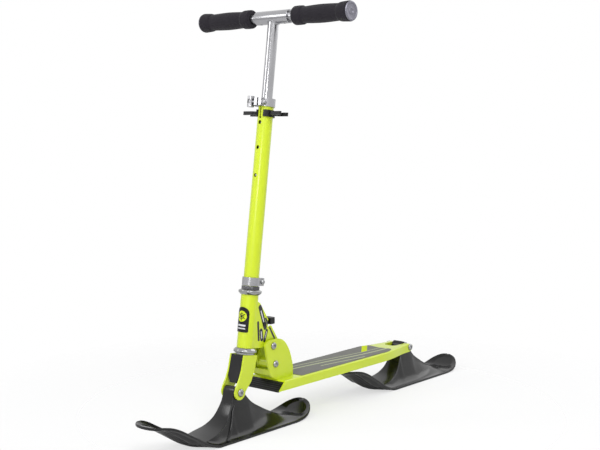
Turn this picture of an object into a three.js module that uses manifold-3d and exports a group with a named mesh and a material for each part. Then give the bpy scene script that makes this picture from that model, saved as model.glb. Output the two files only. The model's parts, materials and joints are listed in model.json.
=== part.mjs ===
// A folding snow scooter: a kick scooter that stands on two skis in place of wheels.
// Millimetres, +Z up, the front towards -Y and +X to the rider's left.
// The origin lies on the ground, midway between the ends of the skis.
import * as THREE from 'three';
import { mergeVertices } from 'three/addons/utils/BufferGeometryUtils.js';
import Module from 'manifold-3d';

const wasm = await Module();
wasm.setup();

const degree = Math.PI / 180;
const quarter = 90 * degree;

// Shared clearances
const fit = 0.3;
const overrun = 3;

// Stance: how far ahead of the origin each axle lies, and its height
const frontAxleAhead = 268.5;
const rearAxleAhead = -291.5;
const axleHeight = 84.5;
const axleRadius = 4;
const axleHeadRadius = 7.4;
const boltHeadHeight = 3.6;
const boltNutHeight = 5.2;

// Steering axis: where it meets the ground, and its rake; places on it are measured from there
const groundAhead = 256.2;
const rake = 7.7 * degree;

// Skis: plan
const tipReach = 225;
const tailReach = 213;
const skiHalfWidth = 43.7;
const tipRoundLength = 78;
const tailRoundLength = 50;
// Skis: heights
const rimThickness = 5;
const tipLift = 61;
const tailLift = 26;
const riserTop = 96.5;
const shoulderHeight = 64;
const bossHalfWidth = 13.6;
const axleBehindCrest = 5.5;
const ridgeChamfer = 1.6;
const ribWidth = 5;
const ribProud = 2.4;
const frontRibReach = 49;
const rearRibReach = 29;

// Deck channel
const deckTop = 92.5;
const deckBottom = 73.5;
const deckHalfWidth = 44;
const deckWall = 3;
const deckEdgeRound = 4;
const deckFrontTopAhead = 165;
const deckFrontLowAhead = 183;
const taperStartAhead = -193;
const taperEndAhead = -268;
const prongInset = 16;
const prongHalfWidth = deckHalfWidth - prongInset;
const prongGapHalf = 16;
const prongEndPast = 11;
const cutOutAhead = -245;
// Deck grip and front cap
const gripHalfWidth = 40;
const gripThickness = 0.9;
const gripFrontGap = 6.5;
const gripRearAhead = -214;
const capThickness = 5;
const capBottom = 71.8;
const capRibs = 5;
const capRibProud = 1.1;

// Fold bracket and its two bolts
const bracketInnerHalf = 19;
const plateThickness = 4;
const pivotHeight = 124.4;
const lockAbovePivot = 37;
const lockHeight = pivotHeight + lockAbovePivot;
const lockBehindAxis = 56.4;
const lockAhead = groundAhead - lockHeight * Math.tan(rake) - lockBehindAxis;
const pivotBehindLock = 6;
const pivotAhead = lockAhead - pivotBehindLock;
const bracketAboveLock = 12.4;
const bracketTop = lockHeight + bracketAboveLock;
const bracketFrontReach = 24;
const bracketFrontAhead = lockAhead + bracketFrontReach;
const bracketRearReach = 59.5;
const bracketRearAhead = lockAhead - bracketRearReach;
const gripFrontAhead = bracketRearAhead - gripFrontGap;
const bracketRiseShares = [0.608, 0.72, 0.268];
const foldBoltRadius = 4;
const foldHeadRadius = 7;
const webThickness = 4;

// Neck: head tube, its two cheeks and the hub that turns on the pivot
const headTubeRadius = 17;
const headTubeBore = 15;
const headTubeLow = 165.6;
const headTubeHigh = 268.4;
const cheekOuterHalf = 15.5;
const cheekThickness = 4;
const hubRadius = 14;
const hubSleeveRadius = 12;
const slotClearance = 1.4;
const badgeThickness = 1;
const badgeLow = 196;
const badgeHigh = 245;
const badgeHalfWidth = 13.5;

// Latch lever between the cheeks
const latchPinAboveLock = 44.6;
const latchPinHeight = lockHeight + latchPinAboveLock;
const latchPinBehindAxis = 33.3;
const latchPinAhead = groundAhead - latchPinHeight * Math.tan(rake) - latchPinBehindAxis;
const latchPinRadius = 3;
const latchHalfWidth = 6;
const latchHubRadius = 6.5;
const knobHalfWidth = 11;
const knobHeight = 13;
const knobRearBehindPin = 38;
const knobRearAhead = latchPinAhead - knobRearBehindPin;
const knobFrontBehindPin = 12;
const knobFrontAhead = latchPinAhead - knobFrontBehindPin;

// Headset
const cupRadius = 22.7;
const cupRimRadius = 19.3;
const lowerCupLow = 156.5;
const upperCupHigh = 277.7;
const cupSeatThickness = 3;
const bearingRadius = 19;
const locknutRadius = 18;
const locknutHigh = 285;

// Fork
const crownTop = 153;
const crownThickness = 5;
const crownAhead = 21.5;
const crownBehind = 16;
const forkInnerHalf = 15.4;
const legThickness = 3.4;
const forkEndRadius = 14.5;
const steererRadius = 12.8;
const steererBore = 10.6;
const steererTop = 330;
const infillBottom = 98.8;
const infillTop = 153;
const infillThickness = 8;
const infillCorner = 12;
const infillLean = 6.4 * degree;
const infillAhead = 21.4;

// Column tube
const columnRadius = 15;
const columnBore = 13.2;
const columnLow = 285.3;
const columnTop = 646;
const slitHalfWidth = 1.6;
const frontSlitDepth = 34.4;
const frontSlitLow = columnTop - frontSlitDepth;
const rearSlitHigh = 312;
const holeDepths = [146.7, 92.5, 44];
const holeHeights = holeDepths.map((depth) => columnTop - depth);
const holeRadius = 3.9;
const bushLength = 26;
const bushLow = columnTop - bushLength;

// Collars
const collarRadius = 17.4;
const lowerCollarHigh = 302;
const topCollarBelowTop = 13;
const topCollarLow = columnTop - topCollarBelowTop;
const topCollarAboveTop = 3;
const topCollarHigh = columnTop + topCollarAboveTop;
const lugHalfWidth = 9;
const lugReach = 28;
const topLugReach = 26;
const clampBoltBehind = 23.5;
const skewerAhead = 21;
const clampBoltRadius = 2.5;
const clampHeadRadius = 4.6;
const clampHeadHeight = 3;
const skewerNutRadius = 6;
const skewerNutLength = 7.6;

// Cam lever
const barrelRadius = 6.75;
const barrelHeight = 21;
const barrelSide = 22;
const eyeHeight = 7;
const leverReach = 58;
const leverThickness = 4;
const leverHeight = 13;
const camPinRadius = 2.3;

// Clip that holds the handles
const clipBelowTop = 32.5;
const clipHeight = 13;
const clipLow = columnTop - clipBelowTop;
const clipHigh = clipLow + clipHeight;
const clipRadius = 18.6;
const clipMouth = 26 * degree;
const prongTipSide = 48.5;
const prongHalfSpan = 12.6;
const prongHeight = 7;
const clipSeatSide = 32.5;
const clipSeatRadius = 9.7;
const clipMouthHalf = 7.6;

// T-bar
const barHeight = 808;
const stemRadius = 10.7;
const stemBore = 9.2;
const stemLow = 380;
const plugLow = 372;
const plugSpigot = 15;
const sleeveRadius = 13.25;
const sleeveHalfLength = 42;
const handleRadius = 9.5;
const handleBore = 7.5;
const handleInnerEnd = 1.5;
const buttonRadius = 3.2;
const snapRadius = 2.6;
const snapSide = 30;

// Grips
const barHalfSpan = 190.3;
const endCapThickness = 7;
const gripInnerGap = 13;
const gripOuterEnd = barHalfSpan - endCapThickness - fit;
const gripInnerEnd = sleeveHalfLength + gripInnerGap;
const gripBodyRadius = 16.6;
const gripWaistRadius = 15.9;
const gripFlangeRadius = 19.2;
const innerFlangeLength = 24;
const outerFlangeLength = 16;
const endCapRadius = 18.8;

// Shares that shape the ski: each pair is a share of the reach and a share of the height
const ridgeTailShares = [[0, 1], [0.035, 0.975], [0.11, 0.82], [0.218, 0.6], [0.356, 0.425], [0.49, 0.28],
  [0.62, 0.16], [0.727, 0.085], [0.84, 0.068], [0.935, 0.125], [1, 0.235]];
const ridgeTipShares = [[0, 1], [0.02, 0.975], [0.036, 0.9], [0.048, 0.777], [0.0765, 0.617], [0.1425, 0.4],
  [0.228, 0.27], [0.355, 0.187], [0.43, 0.155], [0.48, 0.14], [0.583, 0.185], [0.689, 0.32], [0.79, 0.465],
  [0.864, 0.565], [0.94, 0.645], [1, 0.684]];
const bandTailShares = [[0, 1], [0.11, 0.95], [0.218, 0.8], [0.356, 0.65], [0.49, 0.4], [0.62, 0.3], [1, 0.3]];
const bandTipShares = [[0, 1], [0.045, 1], [0.0765, 1.15], [0.1425, 1.45], [0.228, 1.8], [0.355, 2.18], [1, 2.2]];
const edgeTipShares = [[0, 0], [0.307, 0], [0.395, 0.066], [0.478, 0.2], [0.583, 0.43], [0.689, 0.656],
  [0.79, 0.86], [0.864, 0.96], [0.94, 1], [1, 1]];
const bellyTipShares = [[0, 0], [0.307, 0], [0.395, 0.016], [0.478, 0.05], [0.583, 0.2], [0.689, 0.43],
  [0.79, 0.66], [0.864, 0.82], [0.94, 0.95], [1, 1]];
const liftTailShares = [[0, 0], [0.66, 0], [0.78, 0.1], [0.87, 0.33], [0.94, 0.66], [1, 1]];
const roundingShares = [0.35, 0.62, 0.8, 0.91, 0.97, 0.999];
const flankShares = [0, 0.1, 0.27, 0.55, 1];
const bottomShares = [1, 0.5, 0, -0.5, -1];
const bandLimitShare = 0.75;
const dishShare = 0.8;
const flankPower = 2.6;

/** Reads a smooth, unwavering curve through pairs of shares. */
function follow(pairs, place) {
  const last = pairs.length - 1;
  if (place <= pairs[0][0]) return pairs[0][1];
  if (place >= pairs[last][0]) return pairs[last][1];
  const slopes = pairs.slice(1).map((pair, k) => (pair[1] - pairs[k][1]) / (pair[0] - pairs[k][0]));
  const tangents = pairs.map((pair, k) => {
    if (k === 0 || k === last) return slopes[Math.min(k, last - 1)];
    const product = slopes[k - 1] * slopes[k];
    return product <= 0 ? 0 : 2 * product / (slopes[k - 1] + slopes[k]);
  });
  const k = pairs.findIndex((pair) => pair[0] > place) - 1;
  const width = pairs[k + 1][0] - pairs[k][0];
  const t = (place - pairs[k][0]) / width;
  const rise = pairs[k + 1][1] - pairs[k][1];
  const square = t * t;
  const cube = square * t;
  return pairs[k][1] + rise * (3 * square - 2 * cube)
    + width * ((cube - 2 * square + t) * tangents[k] + (cube - square) * tangents[k + 1]);
}

/** Turns a closed geometry into a solid for joining and cutting. */
function solidOf(geometry) {
  const bare = geometry.clone();
  bare.deleteAttribute('normal');
  bare.deleteAttribute('uv');
  const merged = mergeVertices(bare);
  const mesh = new wasm.Mesh({
    numProp: 3,
    vertProperties: merged.attributes.position.array,
    triVerts: new Uint32Array(merged.index.array),
  });
  return new wasm.Manifold(mesh);
}

/** Turns a solid back into a geometry. */
function geometryOf(solid) {
  const mesh = solid.getMesh();
  const geometry = new THREE.BufferGeometry();
  geometry.setAttribute('position', new THREE.BufferAttribute(mesh.vertProperties, 3));
  geometry.setIndex(new THREE.BufferAttribute(mesh.triVerts, 1));
  geometry.computeVertexNormals();
  return geometry;
}

/** Joins pieces into one geometry. */
function join(first, ...others) {
  return geometryOf(others.reduce((sum, other) => sum.add(solidOf(other)), solidOf(first)));
}

/** Cuts tools out of a piece. */
function cut(body, ...tools) {
  return geometryOf(tools.reduce((rest, tool) => rest.subtract(solidOf(tool)), solidOf(body)));
}

/** Keeps what two pieces have in common. */
function common(first, second) {
  return geometryOf(solidOf(first).intersect(solidOf(second)));
}

/** A box between two corners. */
function block(low, high) {
  const size = high.map((value, k) => value - low[k]);
  const middle = high.map((value, k) => (value + low[k]) / 2);
  return new THREE.BoxGeometry(...size).translate(...middle);
}

/** A turned piece about Z from a closed outline of [radius, height] points. */
function turned(outline, sides = 24) {
  const points = outline.map(([radius, height]) => new THREE.Vector2(radius, height));
  const area = points.reduce((sum, point, k) => {
    const next = points[(k + 1) % points.length];
    return sum + point.x * next.y - next.x * point.y;
  }, 0);
  if (area < 0) points.reverse();
  const onAxis = points.findIndex((point, k) => point.x === 0 && points[(k + 1) % points.length].x === 0);
  const start = onAxis < 0 ? 0 : onAxis + 1;
  const ordered = points.map((point, k) => points[(k + start) % points.length]);
  if (onAxis < 0) ordered.push(ordered[0].clone());
  return new THREE.LatheGeometry(ordered, sides).rotateX(quarter);
}

/** A solid rod about Z between two heights. */
function rod(radius, low, high, sides = 24) {
  return turned([[0, low], [radius, low], [radius, high], [0, high]], sides);
}

/** A ring about Z between two heights. */
function ring(inner, outer, low, high, sides = 24) {
  return turned([[inner, low], [outer, low], [outer, high], [inner, high]], sides);
}

/** Lays a piece turned about Z along X, its top towards +X, at a place ahead and up. */
function across(geometry, ahead, up) {
  return geometry.rotateY(quarter).translate(0, -ahead, up);
}

/** Lays a piece turned about Z along the forward direction, its top to the front. */
function forwards(geometry, side, up) {
  return geometry.rotateX(quarter).translate(side, 0, up);
}

/** A shape from [across, up] points, each corner rounded by the radius beside it. */
function outlineOf(points) {
  const shape = new THREE.Shape();
  points.forEach(([x, y, radius = 0], k) => {
    const corner = new THREE.Vector2(x, y);
    const before = new THREE.Vector2(...points[(k + points.length - 1) % points.length]);
    const after = new THREE.Vector2(...points[(k + 1) % points.length]);
    const toBefore = before.sub(corner);
    const toAfter = after.sub(corner);
    const reach = Math.min(radius, toBefore.length() * 0.5, toAfter.length() * 0.5);
    const enter = corner.clone().addScaledVector(toBefore.normalize(), reach);
    const leave = corner.clone().addScaledVector(toAfter.normalize(), reach);
    if (k === 0) shape.moveTo(enter.x, enter.y);
    else shape.lineTo(enter.x, enter.y);
    if (reach > 0) shape.quadraticCurveTo(x, y, leave.x, leave.y);
  });
  shape.closePath();
  return shape;
}

/** A plate seen from the side: [ahead, up, radius] points, between two places across. */
function sidePlate(points, low, high, curveSegments = 4) {
  const shape = outlineOf(points.map(([ahead, up, radius]) => [-ahead, up, radius]));
  const geometry = new THREE.ExtrudeGeometry(shape, { depth: high - low, bevelEnabled: false, curveSegments });
  const turn = new THREE.Matrix4().makeBasis(
    new THREE.Vector3(0, 1, 0),
    new THREE.Vector3(0, 0, 1),
    new THREE.Vector3(1, 0, 0),
  );
  return geometry.applyMatrix4(turn).translate(low, 0, 0);
}

/** A plate seen from above: [side, ahead, radius] points, between two heights. */
function flatPlate(points, low, high, curveSegments = 4) {
  const shape = outlineOf(points.map(([side, ahead, radius]) => [side, -ahead, radius]));
  const geometry = new THREE.ExtrudeGeometry(shape, { depth: high - low, bevelEnabled: false, curveSegments });
  return geometry.translate(0, 0, low);
}

/** A plate seen from the front: [side, up, radius] points, between two places ahead. */
function frontPlate(points, low, high, curveSegments = 4) {
  const shape = outlineOf(points);
  const geometry = new THREE.ExtrudeGeometry(shape, { depth: high - low, bevelEnabled: false, curveSegments });
  return geometry.rotateX(quarter).translate(0, -low, 0);
}

/** A closed skin over rings of points that all have the same number of points. */
function loft(rings) {
  const count = rings[0].length;
  const positions = rings.flat(2);
  const faces = [];
  for (let r = 0; r < rings.length - 1; r += 1) {
    for (let p = 0; p < count; p += 1) {
      const here = r * count + p;
      const beside = r * count + (p + 1) % count;
      faces.push(here, here + count, beside, beside, here + count, beside + count);
    }
  }
  const last = (rings.length - 1) * count;
  const middleOf = (section) => [0, 1, 2].map((axis) => {
    return section.reduce((sum, point) => sum + point[axis], 0) / count;
  });
  const firstMiddle = rings.length * count;
  positions.push(...middleOf(rings[0]), ...middleOf(rings.at(-1)));
  for (let p = 0; p < count; p += 1) {
    const next = (p + 1) % count;
    faces.push(p, next, firstMiddle);
    faces.push(last + p, firstMiddle + 1, last + next);
  }
  const geometry = new THREE.BufferGeometry();
  geometry.setAttribute('position', new THREE.Float32BufferAttribute(positions, 3));
  geometry.setIndex(faces);
  return geometry;
}

/** Moves a piece drawn along the steering axis into the scooter's own frame. */
function standOnColumn(geometry) {
  return geometry.rotateX(-rake).translate(0, -groundAhead, 0);
}

/** Height along the steering axis, and place ahead of it, of a point of the scooter's side view. */
const alongColumn = (ahead, up) => up * Math.cos(rake) - (ahead - groundAhead) * Math.sin(rake);
const aheadOfColumn = (ahead, up) => (ahead - groundAhead) * Math.cos(rake) + up * Math.sin(rake);

/** A bolt along X: its shank from the far end to the head's seat, and a domed head beyond. */
function bolt(shankRadius, farEnd, seat, headRadius, headHeight) {
  return turned([
    [0, farEnd],
    [shankRadius, farEnd],
    [shankRadius, seat],
    [headRadius, seat],
    [headRadius, seat + headHeight * 0.55],
    [headRadius * 0.72, seat + headHeight],
    [0, seat + headHeight],
  ], 16);
}

/** A hexagon nut about Z with its bore clear of the bolt. */
function hexNut(shankRadius, headRadius, low, high) {
  return cut(rod(headRadius, low, high, 6), rod(shankRadius + fit, low - overrun, high + overrun, 16));
}

/** Half-width of the ski at a place ahead of its axle. */
function skiHalf(ahead) {
  const front = ahead >= 0;
  const length = front ? tipRoundLength : tailRoundLength;
  const past = Math.abs(ahead) - (front ? tipReach : tailReach) + length;
  const share = Math.min(Math.max(past / length, 0), roundingShares.at(-1));
  const power = front ? 3 : 2.2;
  return skiHalfWidth * (1 - share ** power) ** (1 / power);
}

/** The heights that shape one cross-section of the ski. */
function skiProfile(ahead) {
  const front = ahead >= 0;
  const place = front ? ahead / tipReach : -ahead / tailReach;
  const edge = skiHalf(ahead);
  const band = bossHalfWidth * follow(front ? bandTipShares : bandTailShares, place);
  const edgeLow = front ? tipLift * follow(edgeTipShares, place) : tailLift * follow(liftTailShares, place);
  const belly = front ? tipLift * follow(bellyTipShares, place) : edgeLow;
  const rimTop = edgeLow + rimThickness;
  const spine = riserTop * follow(front ? ridgeTipShares : ridgeTailShares, place);
  const dish = Math.min(edge / (skiHalfWidth * dishShare), 1);
  const ridge = spine < rimTop ? rimTop - (rimTop - spine) * dish : spine;
  const chamfer = ridgeChamfer * Math.min(Math.max((ridge - rimTop) / (riserTop - shoulderHeight), 0.1), 1);
  return {
    edge, edgeLow, belly, ridge, rimTop, chamfer,
    band: Math.min(band, edge * bandLimitShare),
    shoulder: Math.min(ridge - 2 * chamfer, shoulderHeight),
  };
}

/** One closed cross-section of the ski. */
function skiSection(ahead) {
  const { edge, edgeLow, belly, ridge, rimTop, chamfer, band, shoulder } = skiProfile(ahead);
  const right = flankShares.map((share) => {
    const fall = shoulder > rimTop ? (1 - share) ** flankPower : 1 - share ** 2;
    return [band + (edge - band) * share, rimTop + (shoulder - rimTop) * fall];
  });
  right.unshift([band - chamfer, ridge], [band, ridge - chamfer]);
  const left = right.map(([x, z]) => [-x, z]).reverse();
  const under = bottomShares.map((share) => [edge * share, belly + (edgeLow - belly) * share ** 2]);
  return [...left, [0, ridge], ...right, ...under].map(([x, z]) => [x, -ahead, z]);
}

/** Places ahead of the axle where the ski's cross-sections lie. */
function skiStations() {
  const tailEdge = tailReach - tailRoundLength;
  const tipEdge = tipReach - tipRoundLength;
  const spread = (from, to, count) => Array.from({ length: count }, (_, k) => from + (to - from) * k / count);
  const near = skiHalfWidth * 0.7;
  return [
    ...roundingShares.map((share) => -tailEdge - tailRoundLength * share).reverse(),
    ...spread(-tailEdge, -near, 6),
    ...spread(-near, near, 11),
    ...spread(near, tipEdge, 7),
    tipEdge,
    ...roundingShares.map((share) => tipEdge + tipRoundLength * share),
  ];
}

/** A rib that runs down one flank of the riser from the boss to its foot. */
function skiRib(side, foot) {
  const steps = 6;
  const sections = [];
  for (let k = 0; k <= steps; k += 1) {
    const share = k / steps;
    const ahead = foot * (0.12 + 0.88 * share);
    const { edge, rimTop, band, shoulder } = skiProfile(ahead);
    const up = shoulder + (rimTop + rimThickness * 0.3 - shoulder) * share - ridgeChamfer * (1 - share);
    const flank = 1 - Math.min((up - rimTop) / (shoulder - rimTop), 1) ** (1 / flankPower);
    const proud = ribProud * Math.sin(Math.PI * (0.12 + 0.8 * share));
    const outer = side * (band + (edge - band) * flank + proud);
    const inner = side * bossHalfWidth * 0.5;
    const half = ribWidth / 2;
    sections.push([[inner, -ahead - half, up], [outer, -ahead - half, up],
      [outer, -ahead + half, up], [inner, -ahead + half, up]]);
  }
  return loft(side > 0 ? sections : sections.reverse());
}

/** A ski with its riser, ribs and the bore for its axle. */
function skiShape() {
  const body = loft(skiStations().map(skiSection));
  const ribs = [1, -1].flatMap((side) => [skiRib(side, frontRibReach), skiRib(side, -rearRibReach)]);
  const reach = bossHalfWidth + overrun;
  const bore = across(rod(axleRadius + fit, -reach, reach, 20), 0, axleHeight);
  return cut(join(body, ...ribs).translate(0, -axleBehindCrest, 0), bore);
}

/** The deck: a channel open below, tapered to two prongs round the rear ski. */
function deckShape() {
  const front = deckFrontLowAhead + overrun;
  const rear = rearAxleAhead - prongEndPast;
  const plan = [
    [deckHalfWidth, front], [deckHalfWidth, taperStartAhead, deckHalfWidth],
    [prongHalfWidth, taperEndAhead, prongHalfWidth], [prongHalfWidth, rear - overrun],
    [-prongHalfWidth, rear - overrun], [-prongHalfWidth, taperEndAhead, prongHalfWidth],
    [-deckHalfWidth, taperStartAhead, deckHalfWidth], [-deckHalfWidth, front],
  ];
  const shape = outlineOf(plan.map(([side, ahead, radius]) => [side, -ahead, radius]));
  const block0 = new THREE.ExtrudeGeometry(shape, {
    depth: deckTop - deckBottom,
    bevelThickness: deckEdgeRound,
    bevelSize: deckEdgeRound,
    bevelOffset: -deckEdgeRound,
    bevelSegments: 3,
    curveSegments: 4,
  }).translate(0, 0, deckBottom - deckEdgeRound);
  const profile = sidePlate([
    [deckFrontTopAhead, deckTop], [deckFrontLowAhead, deckBottom],
    [rearAxleAhead, deckBottom, prongEndPast], [rear, axleHeight - prongEndPast / 2, prongEndPast / 2],
    [rear, axleHeight + prongEndPast / 3, prongEndPast / 3], [rearAxleAhead, deckTop, prongEndPast],
  ], -deckHalfWidth - overrun, deckHalfWidth + overrun);
  const inner = deckHalfWidth - deckWall;
  const innerEnd = cutOutAhead + deckWall * 3;
  const hollow = flatPlate([
    [inner, front + overrun], [inner, taperStartAhead, inner], [prongHalfWidth, innerEnd, deckWall],
    [-prongHalfWidth, innerEnd, deckWall], [-inner, taperStartAhead, inner], [-inner, front + overrun],
  ], deckBottom - overrun, deckTop - deckWall);
  const cutOut = flatPlate([
    [prongGapHalf, rear - overrun * 2], [prongGapHalf, cutOutAhead, prongGapHalf],
    [-prongGapHalf, cutOutAhead, prongGapHalf], [-prongGapHalf, rear - overrun * 2],
  ], deckBottom - overrun, deckTop + overrun, 8);
  const reach = prongHalfWidth + overrun;
  const bore = across(rod(axleRadius + fit, -reach, reach, 20), rearAxleAhead, axleHeight);
  return cut(common(block0, profile), hollow, cutOut, bore);
}

/** The grip sheet stuck on the deck. */
function deckGripShape() {
  const half = gripHalfWidth;
  const tail = prongHalfWidth + (deckHalfWidth - prongHalfWidth) * 0.2;
  const points = [
    [half, gripFrontAhead, half * 0.1], [half, taperStartAhead, half * 0.3],
    [tail, gripRearAhead, half * 0.15], [0, gripRearAhead + half * 0.2, half * 0.6],
    [-tail, gripRearAhead, half * 0.15], [-half, taperStartAhead, half * 0.3],
    [-half, gripFrontAhead, half * 0.1],
  ];
  return flatPlate(points, deckTop, deckTop + gripThickness);
}

/** The ribbed cap in the slanted mouth of the deck channel. */
function frontCapShape() {
  const top = deckTop - deckWall - fit;
  const slope = (deckFrontLowAhead - deckFrontTopAhead) / (deckTop - deckBottom);
  const faceAt = (up) => deckFrontTopAhead + (deckTop - up) * slope;
  const pitch = (top - capBottom) / (capRibs * 2 + 1);
  const points = [[faceAt(top) - capThickness, top]];
  points.push([faceAt(capBottom) - capThickness, capBottom]);
  for (let k = 0; k < capRibs * 2 + 1; k += 1) {
    const proud = k % 2 === 0 ? 0 : capRibProud;
    const low = capBottom + pitch * k;
    points.push([faceAt(low) + proud, low], [faceAt(low + pitch) + proud, low + pitch]);
  }
  const half = deckHalfWidth - deckWall - fit;
  return sidePlate(points, -half, half);
}

/** The fold bracket: two plates joined by a web at the foot of their front edges. */
function bracketShape() {
  const outer = bracketInnerHalf + plateThickness;
  const footAhead = bracketFrontAhead - plateThickness * 4.25;
  const footUp = deckTop + plateThickness * 2;
  const cornerUp = bracketTop - plateThickness * 1.6;
  const [frontFlank, rearShoulder, rearFoot] = bracketRiseShares
    .map((share) => deckTop + (cornerUp - deckTop) * share);
  const outline = [
    [footAhead, footUp, plateThickness],
    [bracketFrontAhead - plateThickness * 1.5, frontFlank, plateThickness * 5],
    [bracketFrontAhead, cornerUp, plateThickness * 1.2],
    [lockAhead + plateThickness * 3, bracketTop, plateThickness * 2],
    [lockAhead - plateThickness * 7, bracketTop, plateThickness * 5],
    [bracketRearAhead + plateThickness * 2.4, rearShoulder, plateThickness * 5],
    [bracketRearAhead, rearFoot, plateThickness * 4],
    [bracketRearAhead, deckTop],
    [deckFrontTopAhead + plateThickness, deckTop, plateThickness],
  ];
  const left = sidePlate(outline, bracketInnerHalf, outer);
  const right = sidePlate(outline, -outer, -bracketInnerHalf);
  const webTop = footUp + plateThickness * 3.4;
  const lean = (webTop - footUp) * 0.36;
  const web = sidePlate([
    [footAhead - webThickness, footUp + webThickness * 0.5], [footAhead - webThickness + lean, webTop],
    [footAhead + lean - fit, webTop], [footAhead - fit, footUp + webThickness * 0.5],
  ], -bracketInnerHalf - overrun * 0.5, bracketInnerHalf + overrun * 0.5);
  const reach = outer + overrun;
  const pivot = across(rod(foldBoltRadius + fit, -reach, reach, 20), pivotAhead, pivotHeight);
  const lock = across(rod(foldBoltRadius + fit, -reach, reach, 20), lockAhead, lockHeight);
  return cut(join(left, right, web), pivot, lock);
}

/** The neck: head tube, two cheeks with a curved way for the lock bolt, and the pivot hub. */
function neckShape() {
  const lockRadius = Math.hypot(lockAhead - pivotAhead, lockHeight - pivotHeight);
  const way = foldBoltRadius + slotClearance;
  const tube = standOnColumn(rod(headTubeRadius, headTubeLow, headTubeHigh, 28));
  const bore = standOnColumn(rod(headTubeBore, headTubeLow - overrun, headTubeHigh + overrun, 28));
  const wall = headTubeRadius * 0.4;
  const onTube = (along, behind) => [
    groundAhead - behind * Math.cos(rake) - along * Math.sin(rake),
    along * Math.cos(rake) - behind * Math.sin(rake),
  ];
  const cheek = [
    onTube(headTubeLow + fit, wall),
    onTube(headTubeHigh - headTubeRadius * 0.7, wall),
    [...onTube(headTubeHigh - headTubeRadius * 0.85, headTubeRadius * 0.85), hubRadius * 0.4],
    [pivotAhead - hubRadius * 1.3, pivotHeight + hubRadius * 3.1, hubRadius],
    [pivotAhead - hubRadius * 1.75, pivotHeight + hubRadius * 1.9, hubRadius],
    [pivotAhead - hubRadius, pivotHeight - hubRadius * 0.4, hubRadius * 0.8],
    [pivotAhead - hubRadius * 0.4, pivotHeight - hubRadius, hubRadius * 0.6],
    [pivotAhead + hubRadius * 0.7, pivotHeight - hubRadius, hubRadius * 0.8],
    [pivotAhead + hubRadius * 1.1, pivotHeight + hubRadius * 0.5, hubRadius],
    [pivotAhead + hubRadius * 0.5, pivotHeight + hubRadius * 1.6],
    [lockAhead, lockHeight],
    onTube(headTubeLow + fit, headTubeRadius * 1.3),
  ];
  const arc = [];
  const steps = 12;
  const start = Math.atan2(lockHeight - pivotHeight, lockAhead - pivotAhead);
  const onArc = (radius, angle) => [pivotAhead + radius * Math.cos(angle), pivotHeight + radius * Math.sin(angle)];
  for (let k = 0; k <= steps; k += 1) arc.push(onArc(lockRadius + way, start - start * 1.2 * k / steps));
  for (let k = steps; k >= 0; k -= 1) arc.push(onArc(lockRadius - way, start - start * 1.2 * k / steps));
  const reach = cheekOuterHalf + overrun;
  const slot = sidePlate(arc, -reach, reach);
  const notch = across(rod(way, -reach, reach, 20), lockAhead, lockHeight);
  const cheekInner = cheekOuterHalf - cheekThickness;
  const left = sidePlate(cheek, cheekInner, cheekOuterHalf);
  const right = sidePlate(cheek, -cheekOuterHalf, -cheekInner);
  const hub = across(rod(hubSleeveRadius, -cheekOuterHalf, cheekOuterHalf), pivotAhead, pivotHeight);
  const pivot = across(rod(foldBoltRadius + fit, -reach, reach, 20), pivotAhead, pivotHeight);
  const window = sidePlate([
    [latchPinAhead - knobHeight * 2, latchPinHeight - knobHeight * 0.2, knobHeight * 0.3],
    [latchPinAhead - knobHeight * 0.75, latchPinHeight - knobHeight * 0.75, knobHeight * 0.3],
    [latchPinAhead - knobHeight * 0.75, latchPinHeight + knobHeight * 0.6, knobHeight * 0.3],
    [latchPinAhead - knobHeight * 1.6, latchPinHeight + knobHeight * 1.4, knobHeight * 0.3],
  ], -reach, reach);
  const pin = across(rod(latchPinRadius + fit, -reach, reach, 16), latchPinAhead, latchPinHeight);
  const strapHigh = latchPinHeight + latchHubRadius;
  const strapLow = latchPinHeight - latchHubRadius;
  const strap = [
    [latchPinAhead - latchHubRadius, strapLow, latchHubRadius],
    [latchPinAhead - latchHubRadius, strapHigh, latchHubRadius],
    [groundAhead - strapHigh * Math.tan(rake) - wall, strapHigh],
    [groundAhead - strapLow * Math.tan(rake) - wall, strapLow],
  ];
  const leftStrap = sidePlate(strap, cheekInner, cheekOuterHalf);
  const rightStrap = sidePlate(strap, -cheekOuterHalf, -cheekInner);
  return cut(join(tube, left, right, leftStrap, rightStrap, hub), bore, slot, notch, pivot, window, pin);
}

/** The arched badge plate wrapped on the front of the head tube. */
function badgeShape() {
  const plate = ring(headTubeRadius + fit, headTubeRadius + fit + badgeThickness, badgeLow, badgeHigh, 32);
  const arch = frontPlate([
    [-badgeHalfWidth, badgeLow, badgeThickness * 2], [badgeHalfWidth, badgeLow, badgeThickness * 2],
    [badgeHalfWidth, badgeHigh - overrun * 0.2, badgeHalfWidth],
    [-badgeHalfWidth, badgeHigh - overrun * 0.2, badgeHalfWidth],
  ], headTubeRadius * 0.3, headTubeRadius + overrun, 6);
  return common(plate, arch);
}

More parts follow.
